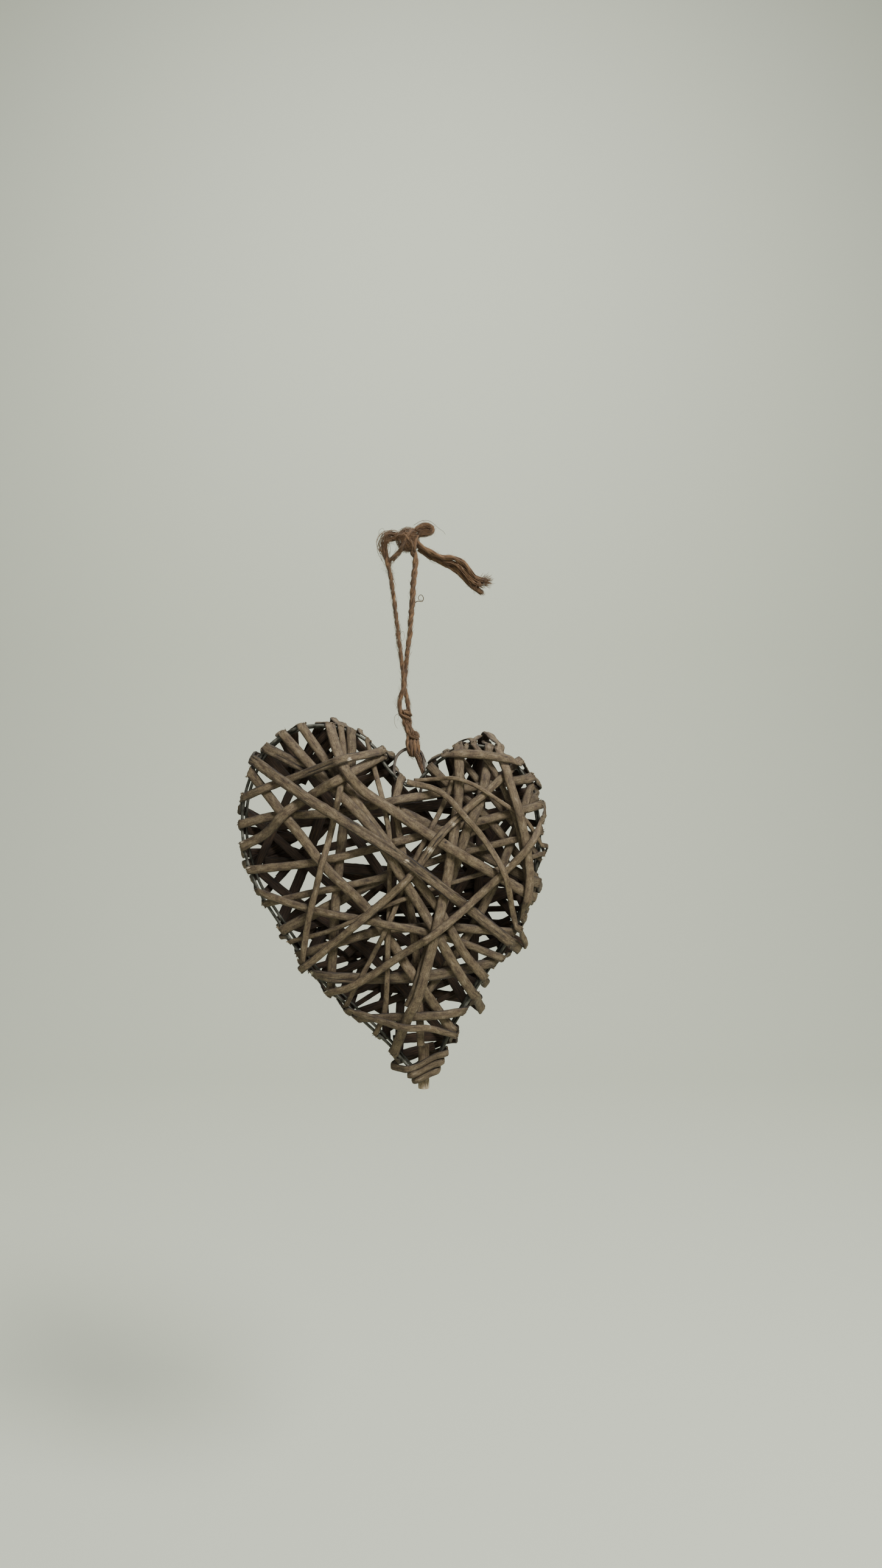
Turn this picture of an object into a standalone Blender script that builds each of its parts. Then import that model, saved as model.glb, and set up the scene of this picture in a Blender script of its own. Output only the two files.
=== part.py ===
"""Woven willow heart with a jute hanging twine.

A puffy, hollow heart: two heart-shaped wires, one behind the other, carry split willow strips
that run over the front, fold round both wires and run on over the back. More strips line the
back alone. The point of the heart is bound with one more strip. A thin bark loop in the cleft
carries a knotted twine.

Metres, +Z up, front towards -Y. The origin is the point where the twine hangs on its hook.
"""

import math

import bmesh
import bpy
import numpy as np
from mathutils import Matrix, Vector
from mathutils.bvhtree import BVHTree

MM = 0.001

# ---------------------------------------------------------------- driving sizes, in millimetres
WIRE_RADIUS = 1.0
RIM_DEPTH = 8.0  # each wire stands this far in front of or behind the middle plane
TIP_DEPTH = 5.0  # and this far at the point of the heart, where the wires draw together
TIP_STATION = 304.0
TIP_TAPER = 60.0  # length of rim over which they draw together
DOME_HEIGHT = 6.5  # rise of the lowest strips over the wires, in the middle of the heart
DOME_REACH = 60.0  # distance from the rim at which the dome is full
TOUCH_GAP = 0.3  # between pieces that touch
LAY_GAP = 0.9  # between a strip and those under it, before its path is thinned out
SAMPLE_STEP = 2.5
CURVE_PIECES = 16  # of a smooth curve, between two of its given points
WIRE_STEP = 13.0
THINNING_TOLERANCE = 0.65  # how far a strip may stray from its smooth path
FOLD_TOLERANCE = 0.45  # and where it folds round the rim
THICKNESS_SHARE = 0.34  # of a strip's width
THICKNESS_RANGE = (1.3, 2.0)
TOP_SHARE = 0.6  # of a strip's width is its flat top
TAIL_LENGTH = 32.0  # of a strip's first end, hooked over the rim and laid on the back
SETTLE_PASSES = 45  # how far a strip that rides over another bridges before it comes down again
RIM_PASSES = 6  # and where it is pulled tight round the rim
FOLD_SQUASH = 0.25  # share of its thickness that a strip loses where it is folded
FULL_REACH = 30.0  # a stack of strips is never thicker than this
RIM_REACH = 11.0  # and this round the edge
NEAR_RIM = 3.0  # closer than this, outwards is square to the rim
STEEPEST_FOLD = 0.5  # tangent of the largest angle at which a strip folds round the rim
SKEW_FADE = (1.2, 3.0)  # length over which the skew of a fold fades: widths of the strip, and mm
SKEW_FALL = 1.5
FOLD_ANGLES = (20, 55, 90)  # degrees round a wire, where the fold is sampled
FOLD_STATIONS = (-0.6, -0.2, 0.2, 0.6)  # and between the wires, as shares of their depth
FACING = 0.7  # a sample whose normal leans less than this to the front or back is at the edge

# The heart, clockwise as seen from the front, from the bottom of the cleft: (x, z)
RIM_POINTS = [
    (12, -159), (21.5, -150), (33, -140.5), (53, -133), (72, -139), (86, -155), (93, -176),
    (94, -198), (88.5, -225), (75.5, -254.5), (56, -284.5), (39, -312), (20.5, -345.5),
    (-4, -323), (-29, -299.5), (-50.5, -277.5), (-71, -249), (-88, -221), (-96, -192),
    (-94, -162), (-81, -135), (-60, -121.5), (-35, -121.5), (-14, -132), (-2, -149),
]  # fmt: skip

# The weave, from the strip laid first to the one laid last. Each strip has its width, where it
# starts, the points it bends through, and where it ends. A start or an end is a place on the
# rim, in mm along the wire from the cleft, or an (x, z) point where it is tucked in.
# The last number is the share of the way across the back that its far end runs.
WEAVE = [
    (6.5, 435, [(-27, -228)], 104, 0.95),
    (5.4, 18, [(38, -160), (58, -177)], 155, 0.75),
    (4.6, 36, [(55, -156), (73, -178)], 142, 0.97),
    (7.0, 561, [(-52, -149), (19, -182)], 158, 0.97),
    (5.8, 96, [(77, -188), (64, -222), (50, -250), (32, -276)], (8, -308), 0.0),
    (5.0, 665, [(2, -170), (7, -203), (15, -265)], (18, -325), 0.00),
    (6.2, 620, [(-26, -140), (-29, -170), (-33, -203)], 386, 0.97),
    (5.8, 509, [(-75, -178), (-38, -176), (-4, -170), (33, -163)], 91, 0.90),
    (5.4, 479, [(-49, -207), (17, -191)], 109, 0.97),
    (4.6, 455, [(-49, -226), (-4, -216), (44, -201)], 126, 0.80),
    (5.8, 416, [(-35, -258), (-4, -250), (35, -248)], 193, 0.97),
    (7.4, 400, [(-23, -281), (27, -278)], 216, 0.95),
    (6.4, 542, [(-65, -181), (-44, -207), (-15, -237), (14, -279)], 267, 0.97),
    (6.5, 59, [(57, -162), (44, -197), (29, -243)], (11, -297), 0.0),
    (3.5, 632, [(-7, -167), (-2, -190), (-2, -248), (-5, -303)], 346, 0.97),
    (3.3, 44, [(32, -173), (15, -205), (-4, -250)], 372, 0.95),
    (5.8, 360, [(1, -305), (28, -303.5)], 253, 0.97),
    (5.0, 464, [(-53, -236), (0, -246), (31, -253)], 211, 0.90),
    (3.1, 426, [(-39, -250), (-4, -234)], 140, 0.97),
    (5.8, 588, [(-40, -146), (-7, -190), (30, -237), (45, -264)], 227, 0.97),
    (6.2, 575, [(-46, -152), (-15, -184), (8, -218), (26, -248), (40, -274)], 240, 0.85),
    (6.5, 39, [(43, -158), (40, -186), (30.5, -236), (15, -292)], 329, 0.8),
    (3.9, 49, [(65, -152), (77, -182)], 169, 0.97),
    (4.2, 613, [(-31, -142), (-35, -172), (-53, -248)], 412, 0.97),
    (6.2, 495, [(-80, -189), (-63, -173), (-35, -156)], 645, 0.75),
    (6.5, 606, [(-34.5, -139), (-30, -150), (-21, -161), (4, -178), (62, -213)], 167, 0.97),
    (5.0, 408, [(-39, -260), (12, -215), (30, -192), (55, -167)], 79, 0.97),
    (2.7, 134, [(83, -181), (65, -168), (44, -156)], (14, -155.5), 0.0),
    (5.8, 65, [(73, -159), (80, -184), (85, -214)], 181, 0.97),
    (5.4, 526, [(-67, -155.5), (-40, -147), (-19, -140.5)], 642, 0.90),
    (5.8, 30, [(50, -140)], 79, 0.97),
    (6.9, 550, [(-58, -163), (-29, -182), (18, -212)], 199, 0.97),
    (5.0, 385, [(-25, -285), (10, -262), (44, -236), (80, -201)], 119, 0.95),
    (3.9, 189, [(67, -209), (51, -184), (31, -163)], (9, -157), 0.0),
    (4.6, 368, [(-10, -305.5), (9, -309.5), (23, -312)], 269, 0.85),
]  # fmt: skip

# Strips that only line the back, laid first of all and cut off at the rim, behind the rear wire:
# width, start station, the points each bends through, end station.
LINING = [
    (5.4, 607, [(-54, -134), (-68, -162), (-79, -187)], 476),
    (6.0, 571, [(-23, -196), (21, -260)], 250),
    (5.4, 517, [(-83, -188), (-47, -220), (-19, -242), (21, -270)], 236),
    (5.8, 483, [(-73, -228), (-23, -264)], 276),
    (5.0, 362, [(1, -299), (39, -286)], 212),
    (5.0, 396, [(-35, -281), (17, -256), (45, -242)], 160),
    (5.8, 102, [(79, -178), (49, -218), (27, -254), (7, -290)], 324),
    (5.4, 33, [(50, -166), (73, -208)], 177),
    (5.8, 55, [(57, -174), (56, -218)], 245),
    (5.4, 659, [(0, -190), (-2, -242), (-6, -290)], 336),
    (6.9, 617, [(-35, -140), (-47, -174), (-60, -214)], 440),
]  # fmt: skip
LINING_OVERHANG = 1.5  # of a lining strip past the wire's middle line

BINDING_WIDTH = 4.6
BINDING_THICKNESS = 1.6
BINDING_TURNS = 3.2
BINDING_SAMPLES = 40  # in each turn
BINDING_START = 0.06  # of a turn round from the right
BINDING_AXIS = (21.8, -332.0)  # (x, z) of its middle at the top
BINDING_DROP = 15.0  # of the last turn below the first
BINDING_TILT = 0.62  # each turn rises towards the right
BINDING_TOP_HALVES = (11.6, 7.2)  # half width and half depth of its inside
BINDING_END_HALVES = (7.2, 6.8)
BINDING_SQUARENESS = 0.65  # below 1, so that the winding fills out to the four wires
BINDING_SETTLE = 4
PEG_RADIUS = 3.6
PEG_ENDS = (-326.0, -354.5)
PEG_X = 19.8

BARK_RADIUS = 1.1
BARK_STEP = 4.0
BARK_LOOP = [
    (3.0, -5.4, -160.0), (1.6, -4.8, -155.0), (0.6, -3.5, -150.0), (0.9, -1.8, -144.5),
    (2.7, -0.6, -139.2), (6.4, 0.0, -135.8), (11.0, 0.0, -134.5), (15.6, -0.2, -135.0),
    (18.8, -0.8, -138.4), (20.1, -2.0, -144.0), (20.0, -3.5, -150.5), (19.2, -5.0, -157.0),
    (17.6, -6.3, -163.0),
]  # fmt: skip

TWINE_RADIUS = 1.4
STRAND_STEP = 6.0
TAIL_STEP = 4.5
LEFT_STRAND = [
    (9.8, -1.7, -124.2), (8.2, -1.7, -120.5), (7.2, -1.7, -116.2), (5.0, -1.2, -111.5),
    (4.1, -1.2, -107.0), (4.9, -1.5, -101.5), (6.4, -1.8, -96.5), (6.9, -1.8, -90.5),
    (6.0, -1.4, -81.5), (4.4, -0.3, -69.5), (2.9, 0.0, -57.5), (1.2, 0.0, -42.0),
    (-0.4, 0.0, -31.0), (-1.8, 0.0, -22.0), (-3.3, 0.0, -16.0), (-5.2, 0.2, -9.5),
    (-5.8, 0.6, -4.0), (-4.1, 0.8, 0.2), (0.0, 0.8, 1.4), (3.0, 0.6, 1.4),
]  # fmt: skip
RIGHT_STRAND = [
    (12.4, 1.7, -123.8), (11.0, 1.7, -120.5), (10.4, 1.6, -116.2), (9.9, 1.2, -111.5),
    (9.8, 1.2, -107.0), (8.8, 1.5, -101.5), (7.5, 1.8, -96.5), (7.4, 1.8, -90.5),
    (8.2, 1.4, -81.5), (9.5, 0.3, -69.5), (10.8, 0.0, -61.0), (11.3, 0.0, -52.0),
    (12.3, 0.0, -42.5), (12.8, 0.0, -33.0), (13.4, 0.0, -24.5), (14.4, 0.0, -16.5),
    (14.4, 0.0, -11.0), (12.4, 0.0, -6.0),
]  # fmt: skip
EYE_STRAND = [(-0.6, -0.4, -12.4), (1.2, -0.8, -10.4), (3.2, -0.8, -8.2), (5.2, -0.6, -6.0)]
UPPER_TAIL = [
    (14.9, -0.6, -0.8), (18.4, -1.2, -3.8), (24.0, -1.6, -7.4), (31.6, -1.6, -10.8),
    (39.0, -1.6, -11.4), (44.8, -1.4, -14.0), (48.8, -1.2, -18.6), (52.0, -0.6, -23.4),
    (56.0, 0.0, -25.4), (60.4, 0.4, -26.0),
]  # fmt: skip
LOWER_TAIL = [
    (16.4, 1.6, -5.0), (19.4, 1.7, -7.6), (26.0, 1.7, -11.4), (33.6, 1.6, -15.2),
    (41.8, 1.2, -20.0), (46.6, 0.9, -24.9), (51.0, 0.4, -29.4), (57.4, -0.2, -33.8),
]  # fmt: skip
BOW = [
    (13.8, 0.6, 6.4), (16.6, 0.8, 9.0), (21.0, 0.6, 10.6), (25.2, 0.0, 8.6), (25.2, -0.6, 5.4),
    (21.4, -1.0, 3.8), (15.8, -0.9, 3.2),
]  # fmt: skip
TOP_KNOT = ((9.2, 0.0, 0.8), (5.2, 4.4, 5.6))  # centre and half sizes
RING_KNOT = ((13.3, 0.0, -132.4), (4.5, 4.4, 7.0))
KNOT_LEAN = math.radians(6)
KNOT_LUMPS = 0.07  # rise of the lumps on a knot, as a share of its size


# ---------------------------------------------------------------- curves
def smooth_through(points, step, closed=False):
    """Points every `step` along a centripetal Catmull-Rom curve through the given ones."""
    knots = [Vector(p) for p in points]
    if closed:
        knots = [knots[-1], *knots, knots[0], knots[1]]
    else:
        knots = [2 * knots[0] - knots[1], *knots, 2 * knots[-1] - knots[-2]]
    fine = []
    for p0, p1, p2, p3 in zip(knots, knots[1:], knots[2:], knots[3:]):
        t1 = (p1 - p0).length ** 0.5
        t2 = t1 + (p2 - p1).length ** 0.5
        t3 = t2 + (p3 - p2).length ** 0.5
        for i in range(CURVE_PIECES):
            t = t1 + (t2 - t1) * i / CURVE_PIECES
            a1 = p0.lerp(p1, t / t1)
            a2 = p1.lerp(p2, (t - t1) / (t2 - t1))
            a3 = p2.lerp(p3, (t - t2) / (t3 - t2))
            b1 = a1.lerp(a2, t / t2)
            b2 = a2.lerp(a3, (t - t1) / (t3 - t1))
            fine.append(b1.lerp(b2, (t - t1) / (t2 - t1)))
    fine.append(knots[-2])
    return even_points(np.array([tuple(p) for p in fine]), step)


def even_points(points, step):
    lengths = np.linalg.norm(np.diff(points, axis=0), axis=1)
    along = np.concatenate([[0.0], np.cumsum(lengths)])
    count = max(2, round(along[-1] / step)) + 1
    wanted = np.linspace(0.0, along[-1], count)
    return np.stack([np.interp(wanted, along, points[:, k]) for k in range(points.shape[1])], 1)


# ---------------------------------------------------------------- the rim and the dome
RIM = smooth_through(RIM_POINTS, 2.0, closed=True)[:-1]
RIM_STEP = float(np.linalg.norm(RIM - np.roll(RIM, 1, axis=0), axis=1).mean())
RIM_LENGTH = RIM_STEP * len(RIM)


def rim_depth(station):
    """How far each wire stands from the middle plane, at a place on the rim."""
    away = min(abs(station % RIM_LENGTH - TIP_STATION) / TIP_TAPER, 1.0)
    return TIP_DEPTH + (RIM_DEPTH - TIP_DEPTH) * away * away * (3 - 2 * away)


def rim_at(station):
    """The (x, z) point, the direction of travel and the outward direction there."""
    place = station % RIM_LENGTH / RIM_STEP
    i = int(place) % len(RIM)
    j = (i + 1) % len(RIM)
    point = RIM[i] + (RIM[j] - RIM[i]) * (place - int(place))
    along = RIM[(j + 2) % len(RIM)] - RIM[i - 2]
    along = along / np.linalg.norm(along)
    return point, along, np.array([-along[1], along[0]])


def nearest_rim(point):
    """Distance to the rim, negative outside it, the outward direction and the station."""
    apart = RIM - point
    i = int((apart**2).sum(axis=1).argmin())
    distance = float(np.linalg.norm(apart[i]))
    outward = rim_at(i * RIM_STEP)[2]
    inside = 1.0 if float(apart[i] @ outward) > -1e-9 else -1.0
    direction = apart[i] / distance * inside if distance > NEAR_RIM else outward
    return distance * inside, direction, i * RIM_STEP


def dome_sample(point, side):
    """Place and outward normal on the front (side -1) or back (+1) of the bare dome."""
    distance, outward, station = nearest_rim(point)
    rest = 1.0 - min(max(distance, 0.0) / DOME_REACH, 1.0)
    rise = DOME_HEIGHT * (1.0 - rest * rest)
    slope = 2.0 * DOME_HEIGHT / DOME_REACH * rest
    y = side * (rim_depth(station) + WIRE_RADIUS + TOUCH_GAP + rise)
    normal = Vector((outward[0] * slope, side, outward[1] * slope)).normalized()
    return Vector((point[0], y, point[1])), normal


# ---------------------------------------------------------------- the path of one strip
class Sample:
    """One place along a strip: where its underside lies, which way is out, and how the cut
    across it is skewed, so that it folds round the rim along a straight crease."""

    def __init__(self, position, normal, crease=None, skew=0.0):
        self.position = position
        self.normal = normal
        self.crease = crease
        self.skew = skew


def fold_over_rim(station, heading):
    """Samples round both wires from the front to the back, and the heading and the station
    with which the strip goes on over the back."""
    _, along, outward = rim_at(station)
    across = max(float(heading @ outward), 0.2)
    drift = max(-STEEPEST_FOLD, min(STEEPEST_FOLD, float(heading @ along) / across))
    radius = WIRE_RADIUS + TOUCH_GAP
    samples = []
    travelled = 0.0
    previous = None
    depth = rim_depth(station)
    steps = [(-1, math.radians(a)) for a in FOLD_ANGLES]
    steps += [(y, math.pi / 2) for y in FOLD_STATIONS]
    steps += [(1, math.radians(180 - a)) for a in reversed(FOLD_ANGLES)]
    for side, angle in steps:
        y = side * depth - radius * math.cos(angle)
        out = radius * math.sin(angle)
        if previous is not None:
            travelled += math.hypot(y - previous[0], out - previous[1])
        previous = (y, out)
        point, along, outward = rim_at(station + travelled * drift)
        place = point + outward * out
        normal = Vector((outward[0] * math.sin(angle), -math.cos(angle), outward[1] * math.sin(angle)))
        crease = Vector((along[0], 0.0, along[1])) * math.hypot(1.0, drift)
        samples.append(Sample(Vector((place[0], y, place[1])), normal, crease, 1.0))
    leaving = station + travelled * drift
    _, along, outward = rim_at(leaving)
    heading = along * drift - outward
    return samples, leaving, heading / np.linalg.norm(heading)


def run_over_back(station, heading, share, length=math.inf):
    """Samples straight on over the back, for a share of the way across."""
    start = rim_at(station)[0]
    reach = SAMPLE_STEP * 2
    while nearest_rim(start + heading * (reach + SAMPLE_STEP))[0] > 0:
        reach += SAMPLE_STEP
    reach = min(reach * share, length)
    count = max(2, round(reach / SAMPLE_STEP))
    steps = [start + heading * (reach * (i + 1) / count) for i in range(count)]
    return [Sample(*dome_sample(point, 1.0)) for point in steps]


def strip_samples(width, start, bends, end, share):
    """The whole bare path of a strip: hooked tail, front, fold and back."""
    first = rim_at(start)[0]
    last = np.array(end, float) if isinstance(end, tuple) else rim_at(end)[0]
    flat = [tuple(p) + (0.0,) for p in (first, *bends, last)]
    route = smooth_through(flat, SAMPLE_STEP)[:, :2]
    front = [Sample(*dome_sample(point, -1.0)) for point in route]
    leaving_start = (route[0] - route[2]) / np.linalg.norm(route[0] - route[2])
    fold, station, heading = fold_over_rim(start, leaving_start)
    tail = run_over_back(station, heading, 1.0, TAIL_LENGTH)
    before = [*reversed(tail), *reversed(fold)]
    after = []
    if not isinstance(end, tuple):
        leaving_end = (route[-1] - route[-3]) / np.linalg.norm(route[-1] - route[-3])
        fold, station, heading = fold_over_rim(end, leaving_end)
        after = fold + run_over_back(station, heading, share)
    samples = before + front + after
    spread_skew(samples, width)
    smooth_normals(samples)
    return samples


def spread_skew(samples, width):
    """Lets the skew of a fold fade out over a few strip widths on each side of it."""
    fade = SKEW_FADE[0] * width + SKEW_FADE[1]
    creased = [s for s in samples if s.crease is not None]
    for sample in samples:
        if sample.crease is None and creased:
            nearest = min(creased, key=lambda s: (s.position - sample.position).length)
            away = (nearest.position - sample.position).length / fade
            sample.crease = nearest.crease
            sample.skew = max(0.0, 1.0 - away) ** SKEW_FALL


def smooth_normals(samples):
    for _ in range(4):
        normals = [s.normal for s in samples]
        for i in range(1, len(samples) - 1):
            if samples[i].skew < 0.9:
                mixed = normals[i - 1] + 2 * normals[i] + normals[i + 1]
                samples[i].normal = mixed.normalized()


def laterals(samples):
    """The direction across the strip at each sample, longer than 1 where the cut is skewed."""
    across = []
    for i, sample in enumerate(samples):
        ahead = samples[min(i + 1, len(samples) - 1)].position
        behind = samples[max(i - 1, 0)].position
        straight = (ahead - behind).cross(sample.normal).normalized()
        if sample.crease is not None and sample.skew > 0:
            crease = sample.crease if sample.crease.dot(straight) > 0 else -sample.crease
            straight = straight.lerp(crease, sample.skew)
        across.append(straight)
    return across


def heights_over(samples, across, width, laid, passes=SETTLE_PASSES):
    """How far each sample is lifted so that the strip clears those under it. It bridges from one
    to the next over the front and the back, and is pulled tighter round the rim."""
    needed = [0.0] * len(samples)
    for i, sample in enumerate(samples):
        reach = FULL_REACH if abs(sample.normal.y) > FACING else RIM_REACH
        for share in (-1.0, -0.5, 0.0, 0.5, 1.0):
            foot = sample.position + across[i] * (share * (width / 2 + TOUCH_GAP))
            hit = laid.ray_cast(foot + sample.normal * reach, -sample.normal, reach)
            if hit[0] is not None:
                needed[i] = max(needed[i], reach - hit[3] + LAY_GAP)
    last = len(samples) - 1
    needed = [max(needed[max(i - 1, 0) : i + 2]) for i in range(len(samples))]
    heights = list(needed)
    for count in range(passes):
        before = list(heights)
        for i, sample in enumerate(samples):
            if sample.skew == 1.0 and count >= RIM_PASSES:
                continue
            level = (before[max(i - 1, 0)] + 2 * before[i] + before[min(i + 1, last)]) / 4
            heights[i] = max(needed[i], level)
    return heights


# ---------------------------------------------------------------- solids
def thickness_of(width):
    thinnest, thickest = THICKNESS_RANGE
    return min(max(THICKNESS_SHARE * width, thinnest), thickest)


def split_rod_section(width, thickness):
    """A split willow rod, shaved down: flat below, and on top between sloping shoulders."""
    half = width / 2
    top = TOP_SHARE * half
    return [(-half, 0.0), (-top, thickness), (top, thickness), (half, 0.0)]


def thin_out(edges, tolerances):
    """Indices of the cuts that are kept, so that no edge strays further than its tolerance."""
    kept = [0]
    while kept[-1] < len(edges) - 1:
        first = kept[-1]
        last = first + 1
        while last + 1 < len(edges) and follows(edges, tolerances, first, last + 1):
            last += 1
        kept.append(last)
    return kept


def follows(edges, tolerances, first, last):
    """Whether straight edges from the first cut to the last pass near all cuts between."""
    for i in range(first + 1, last):
        for start, end, point in zip(edges[first], edges[last], edges[i]):
            chord = end - start
            reach = point - start
            along = chord * (reach.dot(chord) / max(chord.length_squared, 1e-9))
            if (reach - along).length > tolerances[i]:
                return False
    return True


def loft(name, cuts, material, collection):
    """A closed solid through a row of cuts, each a ring of points in millimetres."""
    mesh = bpy.data.meshes.new(name)
    bm = bmesh.new()
    rings = [[bm.verts.new(p * MM) for p in cut] for cut in cuts]
    sides = len(cuts[0])
    for ring, following in zip(rings, rings[1:]):
        for k in range(sides):
            n = (k + 1) % sides
            bm.faces.new((ring[k], ring[n], following[n], following[k]))
    bm.faces.new(rings[0])
    bm.faces.new(rings[-1])
    bmesh.ops.recalc_face_normals(bm, faces=bm.faces)
    bmesh.ops.triangulate(bm, faces=bm.faces)
    bm.to_mesh(mesh)
    bm.free()
    return place(name, mesh, material, collection)


def place(name, data, material, collection):
    obj = bpy.data.objects.new(name, data)
    obj.data.materials.append(material)
    collection.objects.link(obj)
    return obj


def thinned_cuts(samples, across, heights, section):
    """The section set across each sample, at only as many samples as its edges need."""
    cuts = []
    for sample, lateral, height in zip(samples, across, heights):
        foot = sample.position + sample.normal * height
        rise = sample.normal * (1.0 - FOLD_SQUASH * sample.skew)
        cuts.append([foot + lateral * x + rise * t for x, t in section])
    tolerances = [FOLD_TOLERANCE if sample.skew > 0.5 else THINNING_TOLERANCE for sample in samples]
    return [cuts[i] for i in thin_out([cut[::2] for cut in cuts], tolerances)]


def add_to_stack(stack, obj):
    """Adds a finished solid to the faces that later strips are laid over."""
    bpy.context.view_layer.update()
    evaluated = obj.evaluated_get(bpy.context.evaluated_depsgraph_get())
    mesh = evaluated.to_mesh()
    points, faces = stack
    base = len(points)
    points.extend(vert.co / MM for vert in mesh.vertices)
    faces.extend([base + k for k in polygon.vertices] for polygon in mesh.polygons)
    evaluated.to_mesh_clear()


def lay_strip(name, samples, width, stack, material, collection):
    """Lays a strip over all that is there already, and adds it to them."""
    across = laterals(samples)
    heights = heights_over(samples, across, width, BVHTree.FromPolygons(*stack))
    section = split_rod_section(width, thickness_of(width))
    cuts = thinned_cuts(samples, across, heights, section)
    add_to_stack(stack, loft(name, cuts, material, collection))


def lining_samples(start, bends, end):
    """The path of a strip over the back alone, from just past the wire to just past it."""
    first, _, outward = rim_at(start)
    first = first + outward * LINING_OVERHANG
    last, _, outward = rim_at(end)
    last = last + outward * LINING_OVERHANG
    flat = [tuple(p) + (0.0,) for p in (first, *bends, last)]
    samples = [Sample(*dome_sample(point[:2], 1.0)) for point in smooth_through(flat, SAMPLE_STEP)]
    smooth_normals(samples)
    return samples


def line_back(stack, material, collection):
    for number, (width, start, bends, end) in enumerate(LINING, 1):
        samples = lining_samples(start, bends, end)
        lay_strip(f"willow_lining_{number:02d}", samples, width, stack, material, collection)


def weave_strips(stack, material, collection):
    for number, (width, start, bends, end, share) in enumerate(WEAVE, 1):
        samples = strip_samples(width, start, bends, end, share)
        lay_strip(f"willow_strip_{number:02d}", samples, width, stack, material, collection)


def tube(name, points, radius, step, material, collection, closed=False, resolution=2):
    """A tube on a curve with filled caps."""
    curve = bpy.data.curves.new(name, "CURVE")
    curve.dimensions = "3D"
    curve.bevel_depth = radius * MM
    curve.bevel_resolution = resolution
    curve.use_fill_caps = True
    route = smooth_through(points, step, closed)
    if closed:
        route = route[:-1]
    spline = curve.splines.new("POLY")
    spline.points.add(len(route) - 1)
    for point, place_mm in zip(spline.points, route):
        point.co = (*(place_mm * MM), 1.0)
    spline.use_cyclic_u = closed
    spline.use_smooth = True
    return place(name, curve, material, collection)


def rim_wires(stack, material, collection):
    stations = np.arange(0.0, RIM_LENGTH, WIRE_STEP)
    for name, side in (("rim_wire_front", -1.0), ("rim_wire_back", 1.0)):
        points = []
        for station in stations:
            x, z = rim_at(station)[0]
            points.append((x, side * rim_depth(station), z))
        wire = tube(name, points, WIRE_RADIUS, WIRE_STEP, material, collection, True, 1)
        add_to_stack(stack, wire)


def tip_binding(stack, material, collection):
    """One strip wound round the point of the heart, over all that lies there."""
    samples = []
    count = round(BINDING_TURNS * BINDING_SAMPLES)
    for i in range(count + 1):
        share = i / count
        angle = 2 * math.pi * (BINDING_TURNS * share + BINDING_START)
        wide, deep = (a + (b - a) * share for a, b in zip(BINDING_TOP_HALVES, BINDING_END_HALVES))
        cosine, sine = math.cos(angle), math.sin(angle)
        x = wide * math.copysign(abs(cosine) ** BINDING_SQUARENESS, cosine)
        y = deep * math.copysign(abs(sine) ** BINDING_SQUARENESS, sine)
        z = BINDING_AXIS[1] - BINDING_DROP * share + BINDING_TILT * x
        normal = Vector((cosine / wide, sine / deep, 0.0)).normalized()
        samples.append(Sample(Vector((BINDING_AXIS[0] + x, y, z)), normal))
    across = [Vector((0.0, 0.0, 1.0))] * len(samples)
    laid = BVHTree.FromPolygons(*stack)
    heights = heights_over(samples, across, BINDING_WIDTH, laid, BINDING_SETTLE)
    section = split_rod_section(BINDING_WIDTH, BINDING_THICKNESS)
    cuts = thinned_cuts(samples, across, heights, section)
    loft("tip_binding", cuts, material, collection)


def tip_rod_end(material, collection):
    """The cut end of a thicker rod, held between the wires by the binding."""
    top, bottom = PEG_ENDS
    bpy.ops.mesh.primitive_cylinder_add(
        vertices=12,
        radius=PEG_RADIUS * MM,
        depth=(top - bottom) * MM,
        location=(PEG_X * MM, 0.0, (top + bottom) / 2 * MM),
    )
    peg = bpy.context.object
    peg.name = "tip_rod_end"
    peg.data.materials.append(material)
    move_to(peg, collection)


def move_to(obj, collection):
    for other in list(obj.users_collection):
        other.objects.unlink(obj)
    collection.objects.link(obj)


def knot(name, shape, lean, material, collection):
    """A hard-pulled knot as one lumpy ball."""
    centre, half = shape
    bm = bmesh.new()
    bmesh.ops.create_icosphere(bm, subdivisions=2, radius=1.0)
    for vert in bm.verts:
        lump = 1.0 + KNOT_LUMPS * math.sin(5 * vert.co.x + 4 * vert.co.z) * math.cos(4 * vert.co.y)
        vert.co = Vector(a * b * lump * MM for a, b in zip(vert.co, half))
    turn = Matrix.Rotation(lean, 4, "Y")
    bmesh.ops.transform(bm, matrix=Matrix.Translation(Vector(centre) * MM) @ turn, verts=bm.verts)
    mesh = bpy.data.meshes.new(name)
    bm.to_mesh(mesh)
    bm.free()
    return place(name, mesh, material, collection)


def bore_for(piece, points, radius, material, cutters):
    """Cuts the way of a tube through a piece, with the usual gap round it."""
    bore = radius + TOUCH_GAP
    guide = tube(piece.name + "_bore", points, bore, BARK_STEP, material, cutters, resolution=1)
    bpy.context.view_layer.update()
    mesh = bpy.data.meshes.new_from_object(guide.evaluated_get(bpy.context.evaluated_depsgraph_get()))
    bm = bmesh.new()
    bm.from_mesh(mesh)
    bmesh.ops.remove_doubles(bm, verts=bm.verts, dist=1e-6)
    bmesh.ops.recalc_face_normals(bm, faces=bm.faces)
    bm.to_mesh(mesh)
    bm.free()
    cutter = bpy.data.objects.new(piece.name + "_cutter", mesh)
    cutters.objects.link(cutter)
    bpy.data.objects.remove(guide)
    cutter.hide_render = True
    cutter.display_type = "WIRE"
    cut = piece.modifiers.new("Bore", "BOOLEAN")
    cut.object = cutter
    cut.operation = "DIFFERENCE"


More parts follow.
